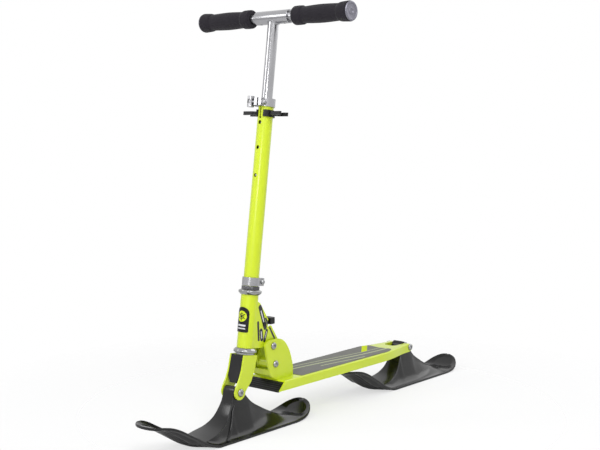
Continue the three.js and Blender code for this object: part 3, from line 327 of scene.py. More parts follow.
@dataclass(frozen=True)
class DeckSheet:
    """Grit sheet with pale curved stripes and a lime patch, all of a generic layout."""

    name: str
    color: tuple[float, float, float]
    stripe: tuple[float, float, float]
    accent: tuple[float, float, float]

    def graph(self) -> Graph:
        """Returns the sheet as a node tree."""
        made = Graph(self.name)
        across, along, _ = made.axes()
        sweep = (along * 9.0 - 0.35).wave() * 0.016
        lane = across - sweep
        stripes = ((lane - 0.004).size() < 0.0021).either((lane + 0.012).size() < 0.0012)
        stripes = stripes.either(((lane - 0.024).size() < 0.0016) * (along > -0.02) * (along < 0.11))
        slant = along + across * 1.4
        patch = (slant > 0.142) * (slant < 0.163) * (lane + 0.012 < 0.0)
        grey = made.blend(made.noise(30.0) * 0.8, self.color, tuple(value * 0.72 for value in self.color))
        striped = made.blend(stripes, grey, self.stripe)
        grit = made.noise(2200.0, 2.0)
        made.set(Base_Color=made.blend(patch, striped, self.accent), Specular_IOR_Level=0.3)
        made.set(Roughness=0.72 + grit * 0.25)
        made.bump(grit, 0.0002, 0.8)
        return made


@dataclass(frozen=True)
class BadgeFace:
    """Black badge: a lime disc with a plain six-armed snowflake over two silver bars."""

    name: str
    black: tuple[float, float, float]
    lime: tuple[float, float, float]
    silver: tuple[float, float, float]
    middle: float = 0.2265
    radius: float = 0.0105

    def graph(self) -> Graph:
        """Returns the badge as a node tree."""
        made = Graph(self.name)
        across, along, up = made.axes()
        height = (along - COLUMN_FOOT.y) * sin(RAKE) + up * cos(RAKE) - self.middle
        reach = made.node("ShaderNodeMath", {"operation": "POWER"}, {0: across * across + height * height, 1: 0.5})
        turn = made.node("ShaderNodeMath", {"operation": "ARCTAN2"}, {0: across, 1: height})
        arms = (((turn * 3.0).wave()).size() * reach) < 0.0022
        arms = arms * (reach < self.radius * 0.82)
        twigs = ((reach - self.radius * 0.5).size() < 0.0006).either(arms)
        disc = reach < self.radius
        bars = ((height + 0.0175).size() < 0.0017).either((height + 0.0235).size() < 0.0011)
        bars = bars * (across.size() < 0.0095)
        face = made.blend(disc, self.black, self.lime)
        face = made.blend(twigs * disc, face, self.black)
        made.set(Base_Color=made.blend(bars, face, self.silver), Specular_IOR_Level=0.22)
        made.set(Coat_Weight=0.1, Coat_Roughness=0.12)
        made.set(Roughness=0.28 + made.noise(80.0) * 0.12)
        made.bump(made.noise(700.0), 0.00001, 0.3)
        return made


@dataclass(frozen=True)
class Bar:
    """A round-ended bar on the neck's cheeks: two ends as (ahead, height) and half its width."""

    start: tuple[float, float]
    end: tuple[float, float]
    half: float

    def mask(self, ahead: Socket, height: Socket) -> Socket:
        """Returns one inside the bar.

        Args:
            ahead: How far ahead the shaded point lies.
            height: How high it lies.

        Returns:
            The bar's mask.
        """
        run = Vector(self.end) - Vector(self.start)
        length = run.length
        run.normalize()
        off_ahead = ahead - self.start[0]
        off_height = height - self.start[1]
        along = off_ahead * run.x + off_height * run.y
        graph = ahead.graph
        along = graph.node("ShaderNodeMath", {"operation": "MINIMUM"}, {0: along, 1: length})
        along = graph.node("ShaderNodeMath", {"operation": "MAXIMUM"}, {0: along, 1: 0.0})
        side_ahead = off_ahead - along * run.x
        side_height = off_height - along * run.y
        return (side_ahead * side_ahead + side_height * side_height) < self.half ** 2


class NeckPaint:
    """The neck's paint with black and silver bars on each cheek; the black bars are painted shade, the dark of the
    cheeks' openings and the shadow along their rear edge.
    """

    # The black bars are painted shade: the dark of the cheeks' openings and the shadow along their rear edge.
    PAINTED_SHADE_BARS = (
        Bar((0.2076, 0.2409), (0.1936, 0.1996), 0.0050),
        Bar((0.1916, 0.2166), (0.1640, 0.1700), 0.0022),
        Bar((0.2139, 0.2118), (0.2123, 0.1777), 0.0028),
        Bar((0.2053, 0.1947), (0.2034, 0.1777), 0.0044),
        Bar((0.1888, 0.1923), (0.1960, 0.1740), 0.0036),
    )
    SILVER_BARS = (
        Bar((0.2050, 0.2330), (0.1945, 0.2030), 0.0013),
        Bar((0.2050, 0.1925), (0.2035, 0.1800), 0.0011),
        Bar((0.1892, 0.1905), (0.1935, 0.1790), 0.0008),
    )

    def __init__(self, paint: Paint, black: tuple, silver: tuple) -> None:
        """Keeps the paint and the two colours: black for the painted shade, silver for the bars."""
        self.paint = paint
        self.black = black
        self.silver = silver

    def graph(self) -> Graph:
        """Returns the cheek's paint, with its painted shade, as a node tree."""
        made = self.paint.graph()
        across, along, height = made.axes()
        ahead = 0.0 - along
        outer = across.size() > 0.0152
        # The first mask is painted shade, where the black bars lie.
        dark, bright = (self._joined(bars, ahead, height) for bars in (self.PAINTED_SHADE_BARS, self.SILVER_BARS))
        ground = Socket(made, made.shader.inputs["Base Color"].links[0].from_socket)
        # Painted shade in black over the outer faces of the cheeks.
        painted_shade_cheek = made.blend(dark * outer, ground, self.black)
        made.set(Base_Color=made.blend(bright * outer, painted_shade_cheek, self.silver))
        return made

    @staticmethod
    def _joined(bars: Sequence[Bar], ahead: Socket, height: Socket) -> Socket:
        """Returns the mask of several bars together."""
        masks = [bar.mask(ahead, height) for bar in bars]
        total = masks[0]
        for mask in masks[1:]:
            total = total.either(mask)
        return total


LIME_COLOR = (0.585, 0.71, 0.014)
LIME_DEEP = (0.5, 0.63, 0.008)
BLACK = (0.006, 0.006, 0.0065)
SILVER = (0.62, 0.63, 0.65)


class Finishes:
    """Every finish of the scooter, each made once."""

    def __init__(self) -> None:
        """Makes the materials."""
        lime = Paint("lime gloss paint", LIME_COLOR, LIME_DEEP)
        self.lime = lime.graph().material
        # BLACK here colours the neck's painted shade bars.
        self.neck = NeckPaint(Paint("neck paint", LIME_COLOR, LIME_DEEP), BLACK, SILVER).graph().material
        self.column_metal = Metal("bright tube", (0.43, 0.43, 0.445), 0.15, (1, 1, 0.05)).graph().material
        self.cast = Metal("satin clamp metal", (0.42, 0.42, 0.435), 0.2, (1, 1, 1)).graph().material
        self.chrome = Metal("headset chrome", (0.36, 0.365, 0.365), 0.05, (1, 1, 1)).graph().material
        self.dark = Metal("black oxide steel", (0.04, 0.04, 0.043), 0.26, (1, 1, 1)).graph().material
        self.nut = Metal("dark lock nut", (0.12, 0.12, 0.126), 0.12, (1, 1, 1)).graph().material
        self.steel = Metal("plated steel", (0.36, 0.365, 0.37), 0.22, (1, 1, 1)).graph().material
        self.cap_metal = Metal("satin cap metal", (0.23, 0.225, 0.265), 0.36, (1, 1, 1)).graph().material
        self.plastic = Plastic("black plastic", BLACK, (0.016, 0.016, 0.017), 0.33, 1400.0, 0.00005).graph().material
        self.ski = Plastic("ski plastic", (0.0025, 0.0025, 0.0027), (0.006, 0.0063, 0.0057), 0.12, 900.0, 0.00001, 0.4).graph().material
        self.foam = Foam("grip foam", (0.0105, 0.009, 0.013), (0.019, 0.016, 0.022)).graph().material
        sheet = DeckSheet("deck grit sheet", (0.215, 0.216, 0.2), (0.5, 0.56, 0.33), LIME_COLOR)
        self.sheet = sheet.graph().material
        self.badge = BadgeFace("badge face", BLACK, LIME_COLOR, SILVER).graph().material


class Maker:
    """Turns bmesh work into finished objects."""

    SHARP = radians(38)

    @staticmethod
    def spin(profile: Profile, steps: int = 64) -> bmesh.types.BMesh:
        """Spins an outline about Z.

        Args:
            profile: (radius, height, fillet) points in order; a closed outline repeats its first point.
            steps: How many steps make the full turn.

        Returns:
            The spun shell, its normals facing out.
        """
        points = Maker.fillet(profile)
        made = bmesh.new()
        verts = [made.verts.new((radius, 0, height)) for radius, height in points]
        edges = [made.edges.new(pair) for pair in zip(verts, verts[1:])]
        bmesh.ops.spin(made, geom=verts + edges, cent=(0, 0, 0), axis=(0, 0, 1), angle=2 * pi, steps=steps,
                       use_merge=True)
        bmesh.ops.remove_doubles(made, verts=made.verts, dist=1e-6)
        bmesh.ops.recalc_face_normals(made, faces=made.faces)
        return made

    @staticmethod
    def fillet(points: Profile, steps: int = 4) -> list[tuple[float, float]]:
        """Rounds the corners of an outline.

        Args:
            points: (x, y, radius) points; the radius may be left out.
            steps: Segments in each rounded corner.

        Returns:
            The outline's points with each corner rounded.
        """
        done: list[tuple[float, float]] = []
        for index, (x, y, *rest) in enumerate(points):
            radius = rest[0] if rest else 0.0
            if not radius or index in (0, len(points) - 1):
                done.append((x, y))
                continue
            corner = Vector((x, y))
            before = Vector(points[index - 1][:2]) - corner
            after = Vector(points[index + 1][:2]) - corner
            reach = min(radius, before.length * 0.49, after.length * 0.49)
            start = corner + before.normalized() * reach
            end = corner + after.normalized() * reach
            for step in range(steps + 1):
                share = step / steps
                spot = start.lerp(corner, share).lerp(corner.lerp(end, share), share)
                done.append((spot.x, spot.y))
        return done

    @staticmethod
    def finish(name: str, made: bmesh.types.BMesh, material: bpy.types.Material, body: Body, slot: Slot,
               replaced: Iterable[str] = ()) -> bpy.types.Object:
        """Makes an object of a bmesh and puts it on its body.

        Args:
            name: The piece's name.
            made: The shape, in its place.
            material: Its finish.
            body: The body it rides on.
            slot: The record's slot for its finish; not used.
            replaced: CAD nodes that it stands for.

        Returns:
            The new object.
        """
        for edge in made.edges:
            edge.smooth = not (edge.is_manifold and edge.calc_face_angle() > Maker.SHARP)
        for face in made.faces:
            face.smooth = True
        mesh = bpy.data.meshes.new(name)
        made.to_mesh(mesh)
        made.free()
        mesh.materials.append(material)
        piece = bpy.data.objects.new(name, mesh)
        bpy.context.scene.collection.objects.link(piece)
        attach(piece, body.value)
        if replaced:
            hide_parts(*replaced)
        LOG.info("piece %s on %s", name, body.value)
        return piece

    @staticmethod
    def carve(made: bmesh.types.BMesh, *tools: bmesh.types.BMesh) -> bmesh.types.BMesh:
        """Cuts tools out of a shape with an exact boolean.

        Args:
            made: The shape to cut.
            tools: The closed shapes to take away.

        Returns:
            The cut shape.
        """
        def as_object(source: bmesh.types.BMesh) -> bpy.types.Object:
            """Makes a passing object of a bmesh."""
            mesh = bpy.data.meshes.new("passing")
            source.to_mesh(mesh)
            source.free()
            item = bpy.data.objects.new("passing", mesh)
            bpy.context.scene.collection.objects.link(item)
            return item

        blank = as_object(made)
        cutters = [as_object(tool) for tool in tools]
        for cutter in cutters:
            boolean = blank.modifiers.new("cut", "BOOLEAN")
            boolean.operation = "DIFFERENCE"
            boolean.solver = "EXACT"
            boolean.object = cutter
        graph = bpy.context.evaluated_depsgraph_get()
        graph.update()
        result = bmesh.new()
        result.from_object(blank, graph)
        for item in [blank, *cutters]:
            bpy.data.objects.remove(item)
        bmesh.ops.remove_doubles(result, verts=result.verts, dist=2e-6)
        return result

    @staticmethod
    def rod(radius: float, low: float, high: float, steps: int = 24) -> bmesh.types.BMesh:
        """Returns a closed rod about Z."""
        made = bmesh.new()
        bmesh.ops.create_cone(made, cap_ends=True, segments=steps, radius1=radius, radius2=radius, depth=high - low)
        bmesh.ops.translate(made, verts=made.verts, vec=(0, 0, (low + high) / 2))
        return made

    @staticmethod
    def block(low: Sequence[float], high: Sequence[float]) -> bmesh.types.BMesh:
        """Returns a box between two corners."""
        made = bmesh.new()
        bmesh.ops.create_cube(made, size=1.0)
        size = [top - foot for foot, top in zip(low, high)]
        middle = [(top + foot) / 2 for foot, top in zip(low, high)]
        bmesh.ops.scale(made, verts=made.verts, vec=size)
        bmesh.ops.translate(made, verts=made.verts, vec=middle)
        return made


def across(made: bmesh.types.BMesh, side: float, spot: Vector) -> bmesh.types.BMesh:
    """Lays a shape turned about Z along X, its top towards the given side, at a spot."""
    turn = Matrix.Rotation(side * pi / 2, 4, "Y")
    made.transform(Matrix.Translation(spot) @ turn)
    return made


def follow(pairs: Profile, place: float) -> float:
    """Reads a smooth, unwavering curve through pairs.

    Args:
        pairs: (place, value) pairs in order.
        place: Where the curve is read.

    Returns:
        The curve's value there.
    """
    if place <= pairs[0][0]:
        return pairs[0][1]
    if place >= pairs[-1][0]:
        return pairs[-1][1]
    slopes = [(after[1] - before[1]) / (after[0] - before[0]) for before, after in zip(pairs, pairs[1:])]
    inner = [0.0 if low * high <= 0 else 2 * low * high / (low + high) for low, high in zip(slopes, slopes[1:])]
    tangents = [slopes[0], *inner, slopes[-1]]
    spot = next(index for index, pair in enumerate(pairs) if pair[0] > place) - 1
    width = pairs[spot + 1][0] - pairs[spot][0]
    share = (place - pairs[spot][0]) / width
    rise = pairs[spot + 1][1] - pairs[spot][1]
    square, cube = share ** 2, share ** 3
    bend = (cube - 2 * square + share) * tangents[spot] + (cube - square) * tangents[spot + 1]
    return pairs[spot][1] + rise * (3 * square - 2 * cube) + width * bend


def grown(rings: Sequence[Sequence[Sequence[float]]]) -> bmesh.types.BMesh:
    """Extrudes a closed ring of points through the others, each point to its partner.

    Args:
        rings: The rings in order, each with as many points as the others.

    Returns:
        The shell, in metres, with its ends filled.
    """
    made = bmesh.new()
    verts = [made.verts.new([value * MM for value in point]) for point in rings[0]]
    loop = [made.edges.new(pair) for pair in zip(verts, verts[1:] + verts[:1])]
    ends = [loop]
    for ring in rings[1:]:
        moved = bmesh.ops.extrude_edge_only(made, edges=loop)["geom"]
        fresh = {item for item in moved if isinstance(item, bmesh.types.BMVert)}
        verts = [next(edge.other_vert(vert) for edge in vert.link_edges if edge.other_vert(vert) in fresh)
                 for vert in verts]
        for vert, point in zip(verts, ring):
            vert.co = [value * MM for value in point]
        loop = [made.edges.get(pair) for pair in zip(verts, verts[1:] + verts[:1])]
    for end in (*ends, loop):
        bmesh.ops.contextual_create(made, geom=end)
    bmesh.ops.recalc_face_normals(made, faces=made.faces)
    return made


def merged(*parts: bmesh.types.BMesh) -> bmesh.types.BMesh:
    """Puts several shapes into one bmesh."""
    made = bmesh.new()
    for part in parts:
        mesh = bpy.data.meshes.new("passing")
        part.to_mesh(mesh)
        part.free()
        made.from_mesh(mesh)
        bpy.data.meshes.remove(mesh)
    return made


@dataclass
class Ski:
    """A moulded ski with its riser, ribs and rounded rim, all in millimetres from its axle."""

    name: str
    axle_ahead: float
    body: Body
    node: str
    tip_reach: float = 225.0
    tail_reach: float = 213.0
    half_width: float = 43.7
    crest: float = 5.5
    rim: float = 5.0
    riser_top: float = 96.5
    boss: float = 13.6
    ridge_tail: Profile = ((0, 1), (0.035, 0.975), (0.11, 0.82), (0.218, 0.6), (0.356, 0.425), (0.49, 0.28),
                           (0.62, 0.16), (0.727, 0.085), (0.84, 0.068), (0.935, 0.125), (1, 0.235))
    ridge_tip: Profile = ((0, 1), (0.02, 0.975), (0.036, 0.9), (0.048, 0.777), (0.0765, 0.617), (0.1425, 0.4),
                          (0.228, 0.27), (0.355, 0.187), (0.43, 0.155), (0.48, 0.14), (0.583, 0.185),
                          (0.689, 0.32), (0.79, 0.465), (0.864, 0.565), (0.94, 0.645), (1, 0.684))
    band_tail: Profile = ((0, 1), (0.11, 0.95), (0.218, 0.8), (0.356, 0.65), (0.49, 0.4), (0.62, 0.3), (1, 0.3))
    band_tip: Profile = ((0, 1), (0.045, 1), (0.0765, 1.15), (0.1425, 1.45), (0.228, 1.8), (0.355, 2.18), (1, 2.2))
    edge_tip: Profile = ((0, 0), (0.307, 0), (0.395, 0.066), (0.478, 0.2), (0.583, 0.43), (0.689, 0.656),
                         (0.79, 0.86), (0.864, 0.96), (0.94, 1), (1, 1))
    belly_tip: Profile = ((0, 0), (0.307, 0), (0.395, 0.016), (0.478, 0.05), (0.583, 0.2), (0.689, 0.43),
                          (0.79, 0.66), (0.864, 0.82), (0.94, 0.95), (1, 1))
    lift_tail: Profile = ((0, 0), (0.66, 0), (0.78, 0.1), (0.87, 0.33), (0.94, 0.66), (1, 1))

    def half(self, ahead: float) -> float:
        """Returns half the ski's width at a place ahead of its axle."""
        length, power, reach = (78, 3, self.tip_reach) if ahead >= 0 else (50, 2.2, self.tail_reach)
        share = min(max((abs(ahead) - reach + length) / length, 0), 0.999)
        return self.half_width * (1 - share ** power) ** (1 / power)

    def heights(self, ahead: float) -> dict[str, float]:
        """Returns the sizes that shape one cross-section."""
        front = ahead >= 0
        place = ahead / self.tip_reach if front else -ahead / self.tail_reach
        edge = self.half(ahead)
        low = 61 * follow(self.edge_tip, place) if front else 26 * follow(self.lift_tail, place)
        belly = 61 * follow(self.belly_tip, place) if front else low
        top = low + self.rim
        spine = self.riser_top * follow(self.ridge_tip if front else self.ridge_tail, place)
        dish = min(edge / (self.half_width * 0.8), 1)
        ridge = top - (top - spine) * dish if spine < top else spine
        chamfer = 1.8 * min(max((ridge - top) / 32.5, 0.1), 1)
        band = min(self.boss * follow(self.band_tip if front else self.band_tail, place), edge * 0.75)
        return {"edge": edge, "low": low, "belly": belly, "ridge": ridge, "top": top, "chamfer": chamfer,
                "band": band, "shoulder": min(ridge - 2 * chamfer, 64.0)}

    def section(self, ahead: float) -> list[tuple[float, float, float]]:
        """Returns one closed cross-section of the ski."""
        size = self.heights(ahead)
        edge, low, top, band, shoulder = (size[key] for key in ("edge", "low", "top", "band", "shoulder"))
        round_ = size["chamfer"]
        lip = min(1.5, edge * 0.2)
        right = [(band - round_ + round_ * sin(turn), size["ridge"] - round_ + round_ * cos(turn))
                 for turn in (0, pi / 8, pi / 4, pi * 3 / 8, pi / 2)]
        for step in range(17):
            share = (step / 16) ** 0.85
            fall = (1 - share) ** 2.6 if shoulder > top else 1 - share ** 2
            right.append((band + (edge - lip - band) * share, top + (shoulder - top) * fall))
        right += [(edge - lip * 0.3, top - lip * 0.3), (edge, top - lip), (edge, low + lip),
                  (edge - lip * 0.3, low + lip * 0.3), (edge - lip, low)]
        left = [(-x, z) for x, z in reversed(right)]
        fade = min(max((ahead - 112) / 10, 0), 1) * min(max((214 - ahead) / 10, 0), 1)
        under = []
        count = 56
        for step in range(1, count):
            share = 1 - 2 * step / count
            groove = max(0.0, cos(share * 10 * pi)) ** 0.5 * fade * (1 if abs(share) < 0.86 else 0)
            under.append(((edge - lip) * share, size["belly"] + (low - size["belly"]) * share ** 2 + 2.3 * groove))
        ring = [*left, (0, size["ridge"]), *right, *under]
        return [(x, -ahead, z) for x, z in ring]

    def places(self) -> list[float]:
        """Returns where the cross-sections lie, from tail to tip."""
        ends = [0.15, 0.3, 0.42, 0.52, 0.61, 0.69, 0.76, 0.82, 0.87, 0.91, 0.94, 0.965, 0.985, 0.999]
        tail, tip = self.tail_reach - 50, self.tip_reach - 78
        middle = [-tail + 6 * step for step in range(int((tail - 34) / 6) + 1)]
        middle += [-34 + 2 * step for step in range(35)]
        middle += [36 + 4 * step for step in range(int((tip - 36) / 4) + 1)]
        done = [-tail - 50 * share for share in reversed(ends)] + middle + [tip + 78 * share for share in ends]
        return sorted(set(round(value, 3) for value in done))

    def rib(self, side: int, foot: float) -> bmesh.types.BMesh:
        """Returns a rib down one flank, from the boss to its foot."""
        rings = []
        for step in range(13):
            share = step / 12
            ahead = foot * (0.12 + 0.88 * share)
            size = self.heights(ahead)
            up = size["shoulder"] + (size["top"] + 1.5 - size["shoulder"]) * share - 1.6 * (1 - share)
            flank = 1 - min((up - size["top"]) / (size["shoulder"] - size["top"]), 1) ** (1 / 2.6)
            proud = 3.0 * sin(pi * (0.12 + 0.8 * share))
            outer = size["band"] + (size["edge"] - size["band"]) * flank + proud
            half = 2.0 + 2.6 * share
            rings.append([(side * x, y - ahead, up) for x, y in (
                (6.8, -half), (outer - 1.6, -half), (outer - 0.5, 0.7 - half), (outer, 1.7 - half),
                (outer, half - 1.7), (outer - 0.5, half - 0.7), (outer - 1.6, half), (6.8, half))])
        return grown(rings)

    def build(self, finishes: Finishes) -> None:
        """Makes the ski on its body."""
        shell = grown([self.section(ahead) for ahead in self.places()])
        ribs = [self.rib(side, foot) for side in (1, -1) for foot in (49, -29)]
        made = merged(shell, *ribs)
        made.transform(Matrix.Translation((0, -(self.axle_ahead + self.crest) * MM, 0)))
        bore = across(Maker.rod(4.3 * MM, -0.03, 0.03), 1, Vector((0, -self.axle_ahead * MM, AXLE_HEIGHT)))
        Maker.finish(self.name, Maker.carve(made, bore), finishes.ski, self.body, Slot.SKI, (self.node,))


def on_column(made: bmesh.types.BMesh) -> bmesh.types.BMesh:
    """Stands a shape made about Z, in millimetres along the column, on the column's axis."""
    made.transform(COLUMN @ Matrix.Scale(MM, 4))
    return made


def at_place(made: bmesh.types.BMesh, side: float, ahead: float, height: float) -> bmesh.types.BMesh:
    """Lays a shape made about Z in millimetres along X at a place of the frame."""
    made.transform(Matrix.Scale(MM, 4))
    return across(made, side, Vector((0, -ahead * MM, height * MM)))


@dataclass
class Column:
    """The lime outer tube with its slits and holes."""

    foot: float = 285.3
    top: float = 646.0
    holes: Sequence[float] = (499.3, 553.5, 602.0)

    def tube(self, finishes: Finishes) -> None:
        """Makes the outer tube with its slits and height holes."""
        rim = 0.35
        outline = [(13.2, self.foot), (15, self.foot, rim), (15, self.top, rim), (13.2, self.top, rim),
                   (13.2, self.foot)]
        made = Maker.spin(outline, 96)
        tools = []
        for height in self.holes:
            drill = Maker.rod(3.9, 5, 25, 28)
            drill.transform(Matrix.Translation((0, 0, height)) @ Matrix.Rotation(pi / 2, 4, "X"))
            tools.append(drill)
        tools.append(Maker.block((-1.6, -20, 611.6), (1.6, -4, self.top + 3)))
        tools.append(Maker.block((-1.6, 4, self.foot - 3), (1.6, 20, 312)))
        end = Maker.rod(2.4, 5, 25, 24)
        end.transform(Matrix.Translation((0, 0, 611.6)) @ Matrix.Rotation(pi / 2, 4, "X"))
        tools.append(end)
        made = on_column(Maker.carve(made, *tools))
        Maker.finish("column_tube_dressed", made, finishes.lime, Body.STEERING, Slot.LIME, ("column_tube",))

    def build(self, finishes: Finishes) -> None:
        """Makes the outer tube."""
        self.tube(finishes)


@dataclass
class Cup:
    """A headset cup: a flared ring turned about the column, its rim away from the head tube."""

    name: str
    seat: float
    rim: float
    bore: float = 15.2
    tube: float = 19.0
    widest: float = 22.7
    mouth: float = 19.3

    def build(self, finishes: Finishes) -> None:
        """Makes the cup on the neck."""
        way = 1 if self.rim > self.seat else -1
        outline = [(self.bore, self.seat), (self.tube, self.seat, 0.6), (self.widest, self.seat + 3.9 * way, 1.3),
                   (self.widest, self.rim - 1.2 * way, 1.0), (self.widest - 1.9, self.rim, 0.5),
                   (self.mouth, self.rim, 0.3), (self.mouth, self.seat + 3 * way), (self.bore, self.seat + 3 * way),
                   (self.bore, self.seat)]
        made = on_column(Maker.spin(outline, 128))
        Maker.finish(f"{self.name}_dressed", made, finishes.chrome, Body.NECK, Slot.ALUMINIUM, (self.name,))


@dataclass
class TBar:
    """The bright bar: a stem welded to a cross sleeve, with a fillet of weld round the joint."""

    height: float = 808.0
    stem: float = 10.7
    sleeve: float = 13.25
    half: float = 42.0

    def weld(self) -> bmesh.types.BMesh:
        """Returns the bead round the stem where it meets the sleeve."""
        rings = []
        steps = 72
        for index in range(steps):
            turn = 2 * pi * index / steps
            ripple = 0.22 * sin(index * 2 * pi / 3.0)
            spot = Vector((self.stem * cos(turn), self.stem * sin(turn)))
            drop = (self.sleeve ** 2 - spot.y ** 2) ** 0.5
            out = Vector((cos(turn), sin(turn)))
            ring = []
            for part in range(8):
                angle = 2 * pi * part / 8
                wide = (1.7 + ripple) * cos(angle)
                tall = (1.7 + ripple) * sin(angle)
                ring.append((spot.x + out.x * wide, spot.y + out.y * wide, self.height - drop - tall + 0.2))
            rings.append(ring)
        return self._closed(rings)

    @staticmethod
    def _closed(rings: Sequence[Sequence[Sequence[float]]]) -> bmesh.types.BMesh:
        """Bridges rings into a shape that closes on itself."""
        made = bmesh.new()
        loops = []
        for ring in rings:
            verts = [made.verts.new(point) for point in ring]
            loops.append([made.edges.new(pair) for pair in zip(verts, verts[1:] + verts[:1])])
        for before, after in zip(loops, loops[1:] + loops[:1]):
            bmesh.ops.bridge_loops(made, edges=before + after)
        bmesh.ops.recalc_face_normals(made, faces=made.faces)
        return made

    def build(self, finishes: Finishes) -> None:
        """Makes the stem with its sleeve and weld."""
        stem = Maker.spin([(9.2, 380), (self.stem, 380, 0.5), (self.stem, self.height - 9.6),
                           (9.2, self.height - 9.6), (9.2, 380)], 80)
        sleeve = Maker.spin([(9.8, -self.half), (self.sleeve, -self.half, 0.9), (self.sleeve, self.half, 0.9),
                             (9.8, self.half, 0.3), (9.8, -self.half)], 80)
        sleeve.transform(Matrix.Translation((0, 0, self.height)) @ Matrix.Rotation(pi / 2, 4, "Y"))
        drill = Maker.rod(3.5, 0, 20, 28)
        drill.transform(Matrix.Translation((0, 0, 499.3)) @ Matrix.Rotation(pi / 2, 4, "X"))
        holes = []
        for side in (1, -1):
            hole = Maker.rod(2.9, 0, 20, 24)
            hole.transform(Matrix.Translation((30 * side, 0, self.height - 20)))
            holes.append(hole)
        stem = Maker.carve(stem, drill)
        sleeve = Maker.carve(sleeve, *holes)
        made = on_column(merged(stem, sleeve, self.weld()))
        Maker.finish("t_bar_dressed", made, finishes.column_metal, Body.BAR, Slot.ALUMINIUM, ("t_bar",))


@dataclass
class Hand:
    """One side of the bar: its foam grip and bright end cap."""

    side: int
    height: float = 808.0

    @property
    def word(self) -> str:
        """Returns the side's name."""
        return "left" if self.side > 0 else "right"

    @property
    def body(self) -> Body:
        """Returns the body that this side rides on."""
        return Body.LEFT_HAND if self.side > 0 else Body.RIGHT_HAND

    def lay(self, made: bmesh.types.BMesh) -> bmesh.types.BMesh:
        """Lays a shape made about Z along the bar, its top outwards."""
        made.transform(Matrix.Translation((0, 0, self.height)) @ Matrix.Rotation(self.side * pi / 2, 4, "Y"))
        return on_column(made)

    def grip(self, finishes: Finishes) -> None:
        """Makes the foam grip with its soft collars."""
        outline = [(9.9, 55.2), (16.4, 55.2, 1.6), (18.2, 57.2, 1.6), (18.4, 66), (18.1, 74.6, 1.6), (17.0, 76.6, 1.2),
                   (15.9, 78.4, 1.2), (16.0, 82), (16.8, 96), (17.4, 112), (17.5, 124), (17.0, 142), (16.3, 158),
                   (16.1, 162.4, 1.2), (17.3, 164.6, 1.2), (18.2, 168.4, 1.6), (18.9, 180), (19.2, 185.6, 0.8),
                   (18.6, 187.2, 0.8), (17.2, 187.4, 0.6), (17.2, 184.6), (9.9, 184.6), (9.9, 55.2)]
        made = Maker.spin(outline, 96)
        bmesh.ops.subdivide_edges(made, edges=[edge for edge in made.edges if edge.calc_length() > 5], cuts=5)
        made = self.lay(made)
        Maker.finish(f"{self.word}_grip_foam", made, finishes.foam, self.body, Slot.FOAM, (f"{self.word}_grip",))

    def cap(self, finishes: Finishes) -> None:
        """Makes the end cap: a domed rim round a dished face with a plain boss."""
        outline = [(0, 169.3), (7.2, 169.3), (7.2, 184.8), (16.9, 184.8), (16.9, 187.7, 0.3), (18.3, 187.7, 0.4),
                   (18.3, 188.9, 0.8), (17.0, 190.3, 0.8), (14.6, 190.3, 0.9), (13.4, 189.2, 0.9), (7.0, 188.9, 0.6),
                   (5.8, 189.9, 0.6), (4.6, 189.9, 0.5), (3.6, 188.6, 0.4), (0, 188.6)]
        made = self.lay(Maker.spin(outline, 96))
        name = f"{self.word}_end_cap"
        Maker.finish(f"{name}_dressed", made, finishes.cap_metal, self.body, Slot.ALUMINIUM, (name,))

    def build(self, finishes: Finishes) -> None:
        """Makes the side's pieces."""
        self.grip(finishes)
        self.cap(finishes)


@dataclass
class CrossBolt:
    """A bolt across the scooter, its domed head on the left with a hexagon socket."""

    name: str
    body: Body
    ahead: float
    height: float
    seat: float
    head: float = 7.0
    shank: float = 4.0
    nut: float = 5.2

    def build(self, finishes: Finishes) -> None:
        """Makes the bolt."""
        end = -self.seat - self.nut - 0.9
        seat = self.seat + 0.3
        outline = [(0, end), (self.shank, end, 0.5), (self.shank, seat), (self.head, seat, 0.25),
                   (self.head, seat + 1.7, 0.7), (self.head * 0.72, seat + 3.6, 0.9), (0, seat + 3.6)]
        spot = Vector((0, -self.ahead * MM, self.height * MM))
        made = Maker.spin(outline, 48)
        made.transform(Matrix.Scale(MM, 4))
        made = across(made, 1, spot)
        socket = across(Maker.rod(2.9 * MM, (seat + 1.2) * MM, (seat + 5) * MM, 6), 1, spot)
        made = Maker.carve(made, socket)
        Maker.finish(f"{self.name}_dressed", made, finishes.steel, self.body, Slot.STEEL, (self.name,))


@dataclass(frozen=True)
class Soft:
    """How a CAD node is carried over: its finish, slot, body and edge radius."""

    finish: str
    slot: Slot
    body: Body
    edge: float = 0.45
    fine: float = 1.0


